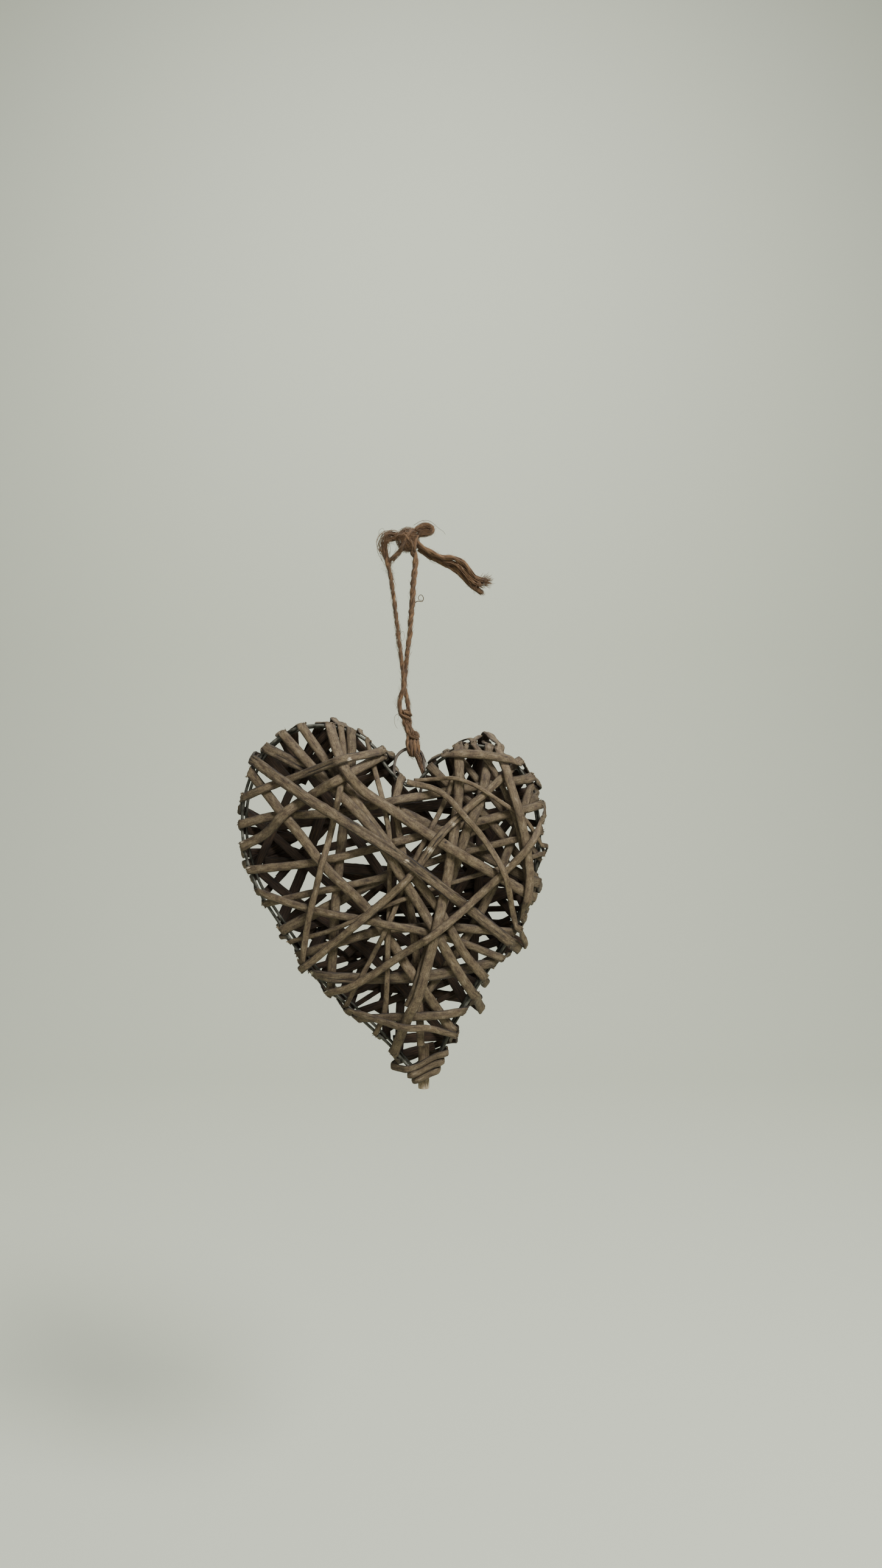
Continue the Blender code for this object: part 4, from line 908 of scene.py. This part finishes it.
# the woven strips
weave = {
    "sampleStep": 2.5,
    "skinStep": 0.95,  # between rings of the finished skin
    "layGap": 0.9,
    "tailLength": 32.0,
    "settlePasses": 45,
    "rimPasses": 6,
    "normalPasses": 4,
    "foldSquash": 0.25,
    "fullReach": 30.0,
    "rimReach": 11.0,
    "facing": 0.7,
    "steepestFold": 0.5,
    "skewFade": (1.2, 3.0),
    "skewFall": 1.5,
    "foldAngles": (20, 55, 90),
    "foldStations": (-0.6, -0.2, 0.2, 0.6),
    "thicknessShare": 0.34,
    "thicknessRange": (1.3, 2.0),
    "liningOverhang": 1.5,
    # width, start station, bends, end station or point, share of the back, tone, wear
    "strips": [
        (6.5, 435, [(-27, -228)], 104, 0.95, 0.44, 0.2),
        (5.4, 18, [(38, -160), (58, -177)], 155, 0.75, 0.46, 0.1),
        (4.6, 36, [(55, -156), (73, -178)], 142, 0.97, 0.4, 0.2),
        (7.0, 561, [(-52, -149), (19, -182)], 158, 0.97, 0.42, 0.5),
        (5.8, 96, [(77, -188), (64, -222), (50, -250), (32, -276)], (8, -308), 0.0, 0.42, 0.2),
        (5.0, 665, [(2, -170), (7, -203), (15, -265)], (18, -325), 0.0, 0.56, 0.1),
        (6.2, 620, [(-26, -140), (-29, -170), (-33, -203)], 386, 0.97, 0.46, 0.1),
        (5.8, 509, [(-75, -178), (-38, -176), (-4, -170), (33, -163)], 91, 0.9, 0.47, 0.3),
        (5.4, 479, [(-49, -207), (17, -191)], 109, 0.97, 0.5, 0.1),
        (4.6, 455, [(-49, -226), (-4, -216), (44, -201)], 126, 0.8, 0.45, 0.2),
        (5.8, 416, [(-35, -258), (-4, -250), (35, -248)], 193, 0.97, 0.44, 0.2),
        (7.4, 400, [(-23, -281), (27, -278)], 216, 0.95, 0.4, 0.6),
        (6.4, 542, [(-65, -181), (-44, -207), (-15, -237), (14, -279)], 267, 0.97, 0.54, 0.1),
        (6.5, 59, [(57, -162), (44, -197), (29, -243)], (11, -297), 0.0, 0.47, 0.1),
        (3.5, 632, [(-7, -167), (-2, -190), (-2, -248), (-5, -303)], 346, 0.97, 0.54, 0.2),
        (3.3, 44, [(32, -173), (15, -205), (-4, -250)], 372, 0.95, 0.48, 0.2),
        (5.8, 360, [(1, -305), (28, -303.5)], 253, 0.97, 0.44, 0.4),
        (5.0, 464, [(-53, -236), (0, -246), (31, -253)], 211, 0.9, 0.49, 0.3),
        (3.1, 426, [(-39, -250), (-4, -234)], 140, 0.97, 0.46, 0.3),
        (5.8, 588, [(-40, -146), (-7, -190), (30, -237), (45, -264)], 227, 0.97, 0.55, 0.0),
        (6.2, 575, [(-46, -152), (-15, -184), (8, -218), (26, -248), (40, -274)], 240, 0.85, 0.52, 0.1),
        (6.5, 39, [(43, -158), (40, -186), (30.5, -236), (15, -292)], 329, 0.8, 0.53, 0.1),
        (3.9, 49, [(65, -152), (77, -182)], 169, 0.97, 0.48, 0.2),
        (4.2, 613, [(-31, -142), (-35, -172), (-53, -248)], 412, 0.97, 0.56, 0.1),
        (6.2, 495, [(-80, -189), (-63, -173), (-35, -156)], 645, 0.75, 0.5, 0.1),
        (6.5, 606, [(-34.5, -139), (-30, -150), (-21, -161), (4, -178), (62, -213)], 167, 0.97, 0.56, 0.1),
        (5.0, 408, [(-39, -260), (12, -215), (30, -192), (55, -167)], 79, 0.97, 0.54, 0.5),
        (2.7, 134, [(83, -181), (65, -168), (44, -156)], (14, -155.5), 0.0, 0.62, 0.1),
        (5.8, 65, [(73, -159), (80, -184), (85, -214)], 181, 0.97, 0.55, 0.1),
        (5.4, 526, [(-67, -155.5), (-40, -147), (-19, -140.5)], 642, 0.9, 0.47, 0.55),
        (5.8, 30, [(50, -140)], 79, 0.97, 0.51, 0.3),
        (6.9, 550, [(-58, -163), (-29, -182), (18, -212)], 199, 0.97, 0.5, 0.75),
        (5.0, 385, [(-25, -285), (10, -262), (44, -236), (80, -201)], 119, 0.95, 0.54, 0.3),
        (3.9, 189, [(67, -209), (51, -184), (31, -163)], (9, -157), 0.0, 0.6, 0.2),
        (4.6, 368, [(-10, -305.5), (9, -309.5), (23, -312)], 269, 0.85, 0.47, 0.5),
    ],
    # strips that line the back alone: width, start station, bends, end station
    "linings": [
        (5.4, 607, [(-54, -134), (-68, -162), (-79, -187)], 476),
        (6.0, 571, [(-23, -196), (21, -260)], 250),
        (5.4, 517, [(-83, -188), (-47, -220), (-19, -242), (21, -270)], 236),
        (5.8, 483, [(-73, -228), (-23, -264)], 276),
        (5.0, 362, [(1, -299), (39, -286)], 212),
        (5.0, 396, [(-35, -281), (17, -256), (45, -242)], 160),
        (5.8, 102, [(79, -178), (49, -218), (27, -254), (7, -290)], 324),
        (5.4, 33, [(50, -166), (73, -208)], 177),
        (5.8, 55, [(57, -174), (56, -218)], 245),
        (5.4, 659, [(0, -190), (-2, -242), (-6, -290)], 336),
        (6.9, 617, [(-35, -140), (-47, -174), (-60, -214)], 440),
    ],
    # one ring of the skin: share of the half width, share of the thickness
    "ring": [
        (-0.9, 0.0), (-0.4, 0.03), (0.4, 0.03), (0.9, 0.0), (1.0, 0.16), (0.99, 0.36), (0.94, 0.56),
        (0.84, 0.74), (0.68, 0.88), (0.44, 0.97), (0.15, 1.0), (-0.15, 1.0), (-0.44, 0.97), (-0.68, 0.88),
        (-0.84, 0.74), (-0.94, 0.56), (-0.99, 0.36), (-1.0, 0.16),
    ],
    # knots in the bark: strip, (x, z), radius
    "knots": [(32, (-53, -158), 1.5), (32, (-42, -166), 1.7), (32, (-18, -181), 1.9),
              (8, (-20, -173), 1.3), (26, (34, -194), 1.2), (20, (2, -203), 1.1)],
    # long cracks: strip, from x to x, share of the half width, depth
    "cracks": [(32, -24, 44, -0.34, 0.75), (32, -8, 30, 0.3, 0.4), (27, 10, 52, 0.1, 0.4),
               (30, -60, -30, 0.2, 0.35), (12, -46, -20, 0.1, 0.5), (4, -80, -50, 0.2, 0.4)],
    # bark chipped off: strip, (x, z), length of the patch; strip 0 stands for any strip, and its
    # patches are painted highlights where the wire glints at the folds
    "chipsAndGlints": [(4, (-85, -177), 4.0), (30, (-26, -142), 3.0), (27, (25, -199), 4.0),
              (27, (39, -183), 3.4), (32, (10, -205), 3.4), (33, (72, -208), 3.0),
              (1, (-88, -232), 3.0), (12, (-62, -283), 4.0), (34, (22, -165), 4.0),
              (0, (-97, -170), 3.0), (0, (-97, -194), 4.5), (0, (-92, -211), 3.0),
              (0, (-52, -278), 3.5), (0, (-43, -289), 3.5), (0, (-34, -298), 3.5)],
}
foldEdges = []  # places where splinters stand out, found while the strips are made


# side of the rim and angle of each sample of a fold, from the front wire to the back one
foldSteps = [(-1, math.radians(a)) for a in weave["foldAngles"]]
foldSteps += [(y, math.pi / 2) for y in weave["foldStations"]]
foldSteps += [(1, math.radians(180 - a)) for a in reversed(weave["foldAngles"])]


class Sample:
    # one place along a strip: where its underside lies, which way is out, and its skew at a fold
    def __init__(self, position, normal, crease=None, skew=0.0):
        self.position = position
        self.normal = normal
        self.crease = crease
        self.skew = skew


def foldOverRim(station, heading):
    # samples round both wires from the front to the back, and how the strip goes on from there
    _, along, outward = rimAt(station)
    across = max(float(heading @ outward), 0.2)
    steepest = weave["steepestFold"]
    drift = max(-steepest, min(steepest, float(heading @ along) / across))
    radius = rim["wireRadius"] + rim["touchGap"]
    samples = []
    travelled = 0.0
    previous = None
    depth = rimDepth(station)
    for side, angle in foldSteps:
        y = side * depth - radius * math.cos(angle)
        out = radius * math.sin(angle)
        if previous is not None:
            travelled += math.hypot(y - previous[0], out - previous[1])
        previous = (y, out)
        point, along, outward = rimAt(station + travelled * drift)
        place = point + outward * out
        normal = Vector((outward[0] * math.sin(angle), -math.cos(angle), outward[1] * math.sin(angle)))
        crease = Vector((along[0], 0.0, along[1])) * math.hypot(1.0, drift)
        samples.append(Sample(Vector((place[0], y, place[1])), normal, crease, 1.0))
    leaving = station + travelled * drift
    _, along, outward = rimAt(leaving)
    heading = along * drift - outward
    return samples, leaving, heading / np.linalg.norm(heading)


def runOverBack(station, heading, share, length):
    start = rimAt(station)[0]
    step = weave["sampleStep"]
    reach = step * 2
    while nearestRim(start + heading * (reach + step))[0] > 0:
        reach += step
    reach = min(reach * share, length)
    count = max(2, round(reach / step))
    steps = [start + heading * (reach * (i + 1) / count) for i in range(count)]
    return [Sample(*domeSample(point, 1.0)) for point in steps]


def flatRoute(*points):
    # a smooth line through (x, z) points
    return smoothThrough([(*point, 0.0) for point in points], weave["sampleStep"])[:, :2]


def foldAndBack(station, way, share, length=math.inf):
    # the samples round the rim and on over the back, for a strip that leaves the front that way
    fold, leaving, heading = foldOverRim(station, way / np.linalg.norm(way))
    return fold + runOverBack(leaving, heading, share, length)


def stripSamples(width, start, bends, end, share):
    # the whole bare path of a strip: hooked tail, front, fold and back
    free = isinstance(end, tuple)  # ends on the front
    route = flatRoute(rimAt(start)[0], *bends, end if free else rimAt(end)[0])
    samples = foldAndBack(start, route[0] - route[2], 1.0, weave["tailLength"])[::-1]
    samples += [Sample(*domeSample(point, -1.0)) for point in route]
    if not free:
        samples += foldAndBack(end, route[-1] - route[-3], share)
    spreadSkew(samples, width)
    smoothNormals(samples)
    return samples


def liningSamples(start, bends, end):
    # the path of a strip over the back alone, from just past the wire to just past it
    first, last = (point + outward * weave["liningOverhang"]
                   for point, _, outward in (rimAt(start), rimAt(end)))
    samples = [Sample(*domeSample(point, 1.0)) for point in flatRoute(first, *bends, last)]
    smoothNormals(samples)
    return samples


def spreadSkew(samples, width):
    # lets the skew of a fold fade out over a few strip widths on each side of it
    fade = weave["skewFade"][0] * width + weave["skewFade"][1]
    creased = [s for s in samples if s.crease is not None]
    for sample in samples:
        if sample.crease is None and creased:
            nearest = min(creased, key=lambda s: (s.position - sample.position).length)
            away = (nearest.position - sample.position).length / fade
            sample.crease = nearest.crease
            sample.skew = max(0.0, 1.0 - away) ** weave["skewFall"]


def smoothNormals(samples):
    for _ in range(weave["normalPasses"]):
        normals = [s.normal for s in samples]
        for i in range(1, len(samples) - 1):
            if samples[i].skew < 0.9:
                mixed = normals[i - 1] + 2 * normals[i] + normals[i + 1]
                samples[i].normal = mixed.normalized()


def lateralsOf(samples):
    across = []
    for i, sample in enumerate(samples):
        ahead = samples[min(i + 1, len(samples) - 1)].position
        behind = samples[max(i - 1, 0)].position
        straight = (ahead - behind).cross(sample.normal).normalized()
        if sample.crease is not None and sample.skew > 0:
            crease = sample.crease if sample.crease.dot(straight) > 0 else -sample.crease
            straight = straight.lerp(crease, sample.skew)
        across.append(straight)
    return across


def heightsOver(samples, across, width, laid, passes):
    # how far each sample is lifted so that the strip clears those under it
    needed = [0.0] * len(samples)
    for i, sample in enumerate(samples):
        reach = weave["fullReach"] if abs(sample.normal.y) > weave["facing"] else weave["rimReach"]
        for share in (-1.0, -0.5, 0.0, 0.5, 1.0):
            foot = sample.position + across[i] * (share * (width / 2 + rim["touchGap"]))
            hit = laid.ray_cast(foot + sample.normal * reach, -sample.normal, reach)
            if hit[0] is not None:
                needed[i] = max(needed[i], reach - hit[3] + weave["layGap"])
    last = len(samples) - 1
    needed = [max(needed[max(i - 1, 0) : i + 2]) for i in range(len(samples))]
    heights = list(needed)
    for count in range(passes):
        before = list(heights)
        for i, sample in enumerate(samples):
            if sample.skew == 1.0 and count >= weave["rimPasses"]:
                continue
            level = (before[max(i - 1, 0)] + 2 * before[i] + before[min(i + 1, last)]) / 4
            heights[i] = max(needed[i], level)
    return heights


def addSolid(stack, name):
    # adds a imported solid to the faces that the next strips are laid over
    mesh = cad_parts[name].data
    points, faces = stack
    base = len(points)
    points.extend(vert.co / mm for vert in mesh.vertices)
    faces.extend([base + k for k in polygon.vertices] for polygon in mesh.polygons)


# the skin of a strip: lengths in mm, and shares of its width, thickness, tone or darkness
skin = {
    "slowWidth": 0.09,  # how much the width changes over a few centimetres
    "quickWidth": 0.04,  # and over a few millimetres
    "ragged": (0.05, 0.05),  # how far an edge strays on a sound strip, and what wear adds
    "relief": (0.10, 0.22),  # depth of the grooves, and what wear adds
    "fineRelief": 0.4,
    "crumple": 0.30,  # of the bark over a fold
    "toneShift": 0.02,
    "slowTone": 0.17,
    "foldTone": 0.07,  # how much darker a fold is
    # the edge value below is painted shade: darker towards both edges, so the strip looks rounder and
    # darker where strips meet
    "paintedEdgeShade": 0.26,  # and both edges
    "dark": 0.12,
    "edgeDark": 0.32,
    "knotReach": 2.2,  # times its radius
    "knotRise": 0.55,
    "knotPit": 0.5,
    "knotDark": 0.9,
    "crackWidth": 0.17,
    "crackFade": 6.0,
    "crackDark": 0.75,
    "chipAndGlintPale": 0.62,
    "endReach": 3.0,
    "endDark": 0.6,
    "endFade": 0.2,
}


def skinStrip(bm, samples, across, heights, width, thickness, seed, tone, wear, number=0):
    # the finished skin of a strip, with uneven edges, grooves along the grain, knots and cracks
    rows = [(*(s.position + s.normal * h), *a, *s.normal, s.skew)
            for s, a, h in zip(samples, across, heights)]
    rows, along = refineRows(np.array(rows), weave["skinStep"])
    foot, lateral, normal = rows[:, :3], rows[:, 3:6], unit(rows[:, 6:9])
    skew = np.clip(rows[:, 9], 0.0, 1.0)
    ring = np.array(weave["ring"])
    half = width / 2
    spots = np.zeros((len(foot), len(ring), 3))
    colours = np.ones((len(foot), len(ring), 4))
    knots, cracks = ([mark for mark in weave[kind] if mark[0] == number] for kind in ("knots", "cracks"))
    chipsAndGlints = [mark for mark in weave["chipsAndGlints"] if mark[0] in (0, number)]
    ragged, relief = (skin[kind][0] + skin[kind][1] * wear for kind in ("ragged", "relief"))
    for i, s in enumerate(along):
        ends = min(s, along[-1] - s)
        wide = half * (1 + skin["slowWidth"] * wobble(s * 0.035, seed, 0.0)
                       + skin["quickWidth"] * wobble(s * 0.2, seed, 4.0))
        squash = 1.0 - weave["foldSquash"] * skew[i]
        crumple = skin["crumple"] * skew[i] ** 3
        shade = tone + skin["slowTone"] * wobble(s * 0.03, seed, 2.0) - skin["foldTone"] * skew[i] ** 2
        for j, (share, rise) in enumerate(ring):
            edge = abs(share) ** 3
            stray = ragged * edge * wobble(s * 0.3, seed + 5.0, share)
            groove = wobble(share * half * 0.8, s * 0.06, seed + 9.0)
            fine = wobble(share * half * 1.7, s * 0.35, seed + 19.0)
            lift = rise * thickness * squash
            dark = skin["dark"] + wear * max(0.0, 0.6 * groove + 0.2) + skin["edgeDark"] * edge
            pale = 0.0
            place = foot[i] + lateral[i] * (wide * share)
            if rise > 0.5:  # the bark side
                lift += relief * groove + skin["fineRelief"] * relief * fine + crumple * fine
                dark += 0.5 * crumple * (fine < -0.1)
            marked = rise > 0.5 and foot[i][1] < 0  # knots, cracks and chips lie on the front alone
            for _, (x, z), radius in knots if marked else ():
                away = math.dist((place[0], place[2]), (x, z)) / radius
                if away < skin["knotReach"]:
                    lift += skin["knotRise"] * math.exp(-((away - 0.9) ** 2) * 3.0)
                    lift -= skin["knotPit"] * math.exp(-away * away * 5)
                    dark = max(dark, skin["knotDark"] * math.exp(-((away - 0.3) ** 2) * 4.0))
            for _, low, high, middle, depth in cracks if marked else ():
                if low < place[0] < high:
                    near = share - middle - 0.16 * wobble(s * 0.11, seed + 31.0)
                    fade = min(1.0, *((x / skin["crackFade"]) for x in (place[0] - low, high - place[0])))
                    fade *= math.exp(-((near / skin["crackWidth"]) ** 2))
                    lift -= depth * fade
                    dark = max(dark, skin["crackDark"] * fade)
            # patches of bark chipped off, and the painted highlights of glinting wire at the folds
            for _, (x, z), reach in chipsAndGlints if marked else ():
                away = math.dist((place[0], place[2]), (x, z)) / reach
                if away < 1.0:
                    pale = max(pale, skin["chipAndGlintPale"] * (1.0 - away) ** 0.4)
            if ends < skin["endReach"]:
                dark = max(dark, skin["endDark"] - skin["endFade"] * ends)
            spots[i, j] = foot[i] + lateral[i] * (wide * (share + stray)) + normal[i] * lift
            outer = min(max((rise - 0.12) / 0.3, 0.0), 1.0)
            # painted shade: the tone falls towards both edges of the strip
            toned = shade + skin["toneShift"] - skin["paintedEdgeShade"] * abs(share) ** 2.5
            colours[i, j] = (toned, outer, min(dark, 1.0), pale)
    gaps = [math.dist((a[0] * half, a[1] * thickness), (b[0] * half, b[1] * thickness))
            for a, b in zip(ring, np.roll(ring, -1, axis=0))]
    around = np.concatenate([[0.0], np.cumsum(gaps)])
    rollSkin(bm, spots, around, along + seed * 91.0, lambda i, j: tuple(colours[i, j]))
    noteFoldEdges(foot, lateral, normal, skew, half, thickness, wear)


def noteFoldEdges(foot, lateral, normal, skew, *size):
    # for each fold, the ring where the strip turns from the front over the front wire
    groups = []
    for i in range(len(foot)):
        if skew[i] > 0.98 and foot[i][1] < 0 and 0.3 < -normal[i][1] < 0.93:
            if not groups or i > groups[-1][-1] + 3:
                groups.append([])
            groups[-1].append(i)
    foldEdges.extend((foot[g[len(g) // 2]], lateral[g[-1]], normal[g[0]], *size) for g in groups)


def makeStrip(name, node, samples, width, stack, seed, tone, wear, number=0):
    across = lateralsOf(samples)
    laid = BVHTree.FromPolygons(*stack)
    heights = heightsOver(samples, across, width, laid, weave["settlePasses"])
    thinnest, thickest = weave["thicknessRange"]
    thickness = min(max(weave["thicknessShare"] * width, thinnest), thickest)
    bm = newBmesh()
    skinStrip(bm, samples, across, heights, width, thickness, seed, tone, wear, number)
    finishPiece(name, bm, willowFinish, "willow", node)
    addSolid(stack, node)


def makeWeave():
    stack = ([], [])
    addSolid(stack, "rim_wire_front")
    addSolid(stack, "rim_wire_back")
    for number, (width, *route) in enumerate(weave["linings"], 1):
        names = f"lining_willow_{number:02d}", f"willow_lining_{number:02d}"
        makeStrip(*names, liningSamples(*route), width, stack, 60.0 + number, 0.42, 0.2)
    for number, (width, *route, tone, wear) in enumerate(weave["strips"], 1):
        names = f"split_willow_{number:02d}", f"willow_strip_{number:02d}"
        makeStrip(*names, stripSamples(width, *route), width, stack, float(number), tone, wear, number)
    return stack


stack = makeWeave()
print("weave:", len(weave["linings"]), "lining strips and", len(weave["strips"]), "woven strips")


splinters = {
    "perFold": (7, 12),
    "length": (0.5, 1.7),
    "radius": (0.12, 0.26),
    "flapShare": 0.55,  # of them are flat flakes of bark
    "flapRadius": (0.35, 0.8),
    "flatness": 0.3,
    "segments": 3,
}


def makeSplinters():
    # torn fibres and flakes of bark that stand up where the strips are folded over the wire
    rng = random.Random(23)
    bm = newBmesh()
    for foot, lateral, normal, half, thickness, wear in foldEdges:
        outward = unit(np.array((normal[0], 0.0, normal[2])))
        part = newBmesh()
        for _ in range(rng.randint(*splinters["perFold"]) + round(6 * wear)):
            flap = rng.random() < splinters["flapShare"]
            share = rng.uniform(-1.0, 1.0)
            base = foot + lateral * (half * share) + normal * (thickness * 0.62)
            base = base + scatter(rng, 0.25)
            way = outward * rng.uniform(0.5, 1.1) + lateral * rng.gauss(0, 0.35)
            way = way + np.array((0.0, -1.0, 0.0)) * rng.uniform(-0.3, 0.5)
            low, high = splinters["length"]
            length = rng.uniform(low, high) ** 1.2 * (0.75 if flap else 1.0)
            radius = rng.uniform(*splinters["flapRadius" if flap else "radius"])
            steps = splinters["segments"]
            line = np.array([base - way * 0.4 + way * (0.4 + length) * k / steps for k in range(steps + 1)])
            line[1:] += np.array([scatter(rng, 0.12) for _ in range(steps)])
            shade = rng.choice((0.3, 0.45, 0.55, 0.8))
            sweepTube(part, line, np.linspace(radius, radius * 0.25, steps + 1), 4 if flap else 3,
                      finishAndPaintedLight=(shade, 1.0, rng.choice((0.1, 0.5)), 0.0),
                      flatness=splinters["flatness"] if flap else 1.0, start=rng.random() * 90)
        mergeInto(bm, part)
    finishPiece("willow_splinters", bm, willowFinish, "willow")


makeSplinters()
print("splinters at", len(foldEdges), "folds")

binding = {
    "width": 4.6,
    "thickness": 1.6,
    "turns": 3.2,
    "samples": 40,
    "start": 0.06,
    "axis": (21.8, -332.0),
    "drop": 15.0,
    "tilt": 0.62,
    "topHalves": (11.6, 7.2),
    "endHalves": (7.2, 6.8),
    "squareness": 0.65,
    "settle": 4,
    "tone": 0.47,
    "wear": 0.45,
}


def makeBinding():
    samples = []
    count = round(binding["turns"] * binding["samples"])
    for i in range(count + 1):
        share = i / count
        angle = 2 * math.pi * (binding["turns"] * share + binding["start"])
        wide, deep = (a + (b - a) * share for a, b in zip(binding["topHalves"], binding["endHalves"]))
        cosine, sine = math.cos(angle), math.sin(angle)
        x = wide * math.copysign(abs(cosine) ** binding["squareness"], cosine)
        y = deep * math.copysign(abs(sine) ** binding["squareness"], sine)
        z = binding["axis"][1] - binding["drop"] * share + binding["tilt"] * x
        normal = Vector((cosine / wide, sine / deep, 0.0)).normalized()
        samples.append(Sample(Vector((binding["axis"][0] + x, y, z)), normal))
    across = [Vector((0.0, 0.0, 1.0))] * len(samples)
    laid = BVHTree.FromPolygons(*stack)
    heights = heightsOver(samples, across, binding["width"], laid, binding["settle"])
    bm = newBmesh()
    skinStrip(bm, samples, across, heights, binding["width"], binding["thickness"], 51.0,
              binding["tone"], binding["wear"])
    finishPiece("tip_wrapping", bm, willowFinish, "willow", "tip_binding")


def makeWires():
    for name, side in (("front", -1), ("back", 1)):
        stations = np.arange(0.0, rimLength, rim["ringStep"])
        line = np.array([np.insert(rimAt(s)[0], 1, side * rimDepth(s)) for s in stations])
        line = (line + np.roll(line, 1, 0) + np.roll(line, -1, 0)) / 3
        heading = unit(np.roll(line, -1, 0) - np.roll(line, 1, 0))
        first = unit(np.cross(heading, (0.0, 1.0, 0.0)))
        frames = (heading, first, np.cross(heading, first))
        bm = newBmesh()
        sweepTube(bm, line, rim["wireRadius"], rim["sides"], looped=True, frames=frames)
        finishPiece(name + "_hoop", bm, wireFinish, "wire", "rim_wire_" + name)


barkLoop = {
    "radius": 1.1,
    "points": [
        (3.0, -5.4, -160.0), (1.6, -4.8, -155.0), (0.6, -3.5, -150.0), (0.9, -1.8, -144.5),
        (2.7, -0.6, -139.2), (6.4, 0.0, -135.8), (11.0, 0.0, -134.5), (15.6, -0.2, -135.0),
        (18.8, -0.8, -138.4), (20.1, -2.0, -144.0), (20.0, -3.5, -150.5), (19.2, -5.0, -157.0),
        (17.6, -6.3, -163.0),
    ],
    "fibres": 7,
    "fibreRadius": 0.36,
    "spread": 0.66,
    "wander": 0.55,
    # thin fibres beside the loop: radius and points
    "strays": [
        (0.34, [(17.6, -1.4, -136.4), (20.0, -2.0, -140.0), (21.8, -3.0, -145.0), (22.0, -4.6, -150.0),
                (20.4, -6.4, -154.6)]),
        (0.28, [(18.6, -2.2, -138.0), (19.6, -3.0, -143.0), (19.0, -4.6, -149.0), (18.2, -6.6, -154.8)]),
        (0.30, [(23.6, -4.0, -146.0), (21.6, -5.0, -150.0), (19.4, -6.6, -154.0)]),
        (0.26, [(25.4, -4.6, -148.6), (27.6, -6.4, -152.4), (29.0, -8.0, -155.6)]),
        (0.30, [(3.4, -7.0, -153.6), (8.6, -9.2, -156.4), (14.0, -9.6, -156.8), (19.0, -8.6, -154.8),
                (22.0, -6.4, -152.0)]),
        (0.24, [(2.6, -7.6, -155.0), (7.0, -9.8, -158.6), (12.6, -10.0, -159.6), (18.4, -9.6, -157.6)]),
        (0.22, [(5.0, -8.0, -152.6), (10.6, -9.4, -155.2), (16.0, -9.2, -155.0)]),
    ],
    # jute wound down the right leg
    "juteFan": [
        ((14.4, -2.2, -136.4), 1.3), ((16.2, -2.8, -140.6), 1.25), ((17.8, -3.6, -145.4), 0.95),
        ((19.2, -4.6, -150.0), 0.6), ((20.0, -5.4, -153.0), 0.4),
    ],
}


def makeBarkLoop():
    rng = random.Random(7)
    line = smoothThrough(barkLoop["points"], 0.7)
    frames = carriedFrames(line)
    bm = newBmesh()
    count = barkLoop["fibres"]
    for k in range(count):
        angle = np.array([2 * math.pi * k / count + i * 0.03 + 1.2 * wobble(i * 0.02, k * 3.1)
                          for i in range(len(line))])
        away = np.array([barkLoop["spread"] + barkLoop["wander"] * wobble(i * 0.03, k * 5.3, 8.0)
                         for i in range(len(line))])
        route = aside(line, frames, angle, away)
        sweepTube(bm, route, barkLoop["fibreRadius"] * rng.uniform(0.8, 1.3), 7, flatness=0.7,
                  start=k * 13.0)
    sweepTube(bm, line, 0.55, 8)
    for radius, points in barkLoop["strays"]:
        stray = smoothThrough(points, 1.0)
        sweepTube(bm, stray, np.linspace(radius, radius * 0.5, len(stray)), 5)
    finishPiece("bark_loop", bm, barkFinish, "bark", "bark_hanging_loop")
    bm = newBmesh()
    leg = smoothThrough([place for place, _ in barkLoop["juteFan"]], 0.9)
    sweepTube(bm, leg, np.linspace(1.2, 0.4, len(leg)), 8, 0.22)
    layFibres(bm, fan(barkLoop["juteFan"], 90, 0.2, rng, tone=0.4))
    layFibres(bm, fuzz(leg, 1.4, 60, 2.0, rng, lift=0.3))
    finishPiece("jute_leg_wrap", bm, juteFinish, "jute")


rodEnd = {"radius": 3.6, "top": -326.0, "bottom": -354.5, "x": 19.8, "edge": 0.35}


def makeRodEnd():
    # the sawn end of a thicker rod: a round bar with a slightly rounded edge
    bm = newBmesh()
    length = rodEnd["top"] - rodEnd["bottom"]
    bmesh.ops.create_cone(
        bm, cap_ends=True, segments=28, radius1=rodEnd["radius"] * mm,
        radius2=rodEnd["radius"] * mm, depth=length * mm,
    )
    rims = [e for e in bm.edges if len({round(v.co.z, 6) for v in e.verts}) == 1]
    bmesh.ops.bevel(
        bm, geom=rims, offset=rodEnd["edge"] * mm, segments=3, profile=0.5, affect="EDGES",
        material=-1,
    )
    middle = (rodEnd["top"] + rodEnd["bottom"]) / 2
    bmesh.ops.translate(bm, vec=Vector((rodEnd["x"], 0.0, middle)) * mm, verts=bm.verts)
    layer = bm.verts.layers.float_color.get("finishAndPaintedLight")
    uvLayer = bm.loops.layers.uv["UVMap"]
    for vert in bm.verts:
        # the sawn end is paler than the bark above it
        vert[layer] = (0.9, 1.0, 0.0, 0.55) if vert.co.z < middle * mm else (0.6, 1.0, 0.1, 0.0)
    for face in bm.faces:
        face.smooth = len(face.verts) < 5
        for loop in face.loops:
            loop[uvLayer].uv = (loop.vert.co.x / mm * 0.1, loop.vert.co.z / mm * 0.1)
    finishPiece("cut_rod_end", bm, willowFinish, "cut_rod", "tip_rod_end")


makeBinding()
makeWires()
makeBarkLoop()
makeRodEnd()
print("binding, rim wires, bark loop and rod end")
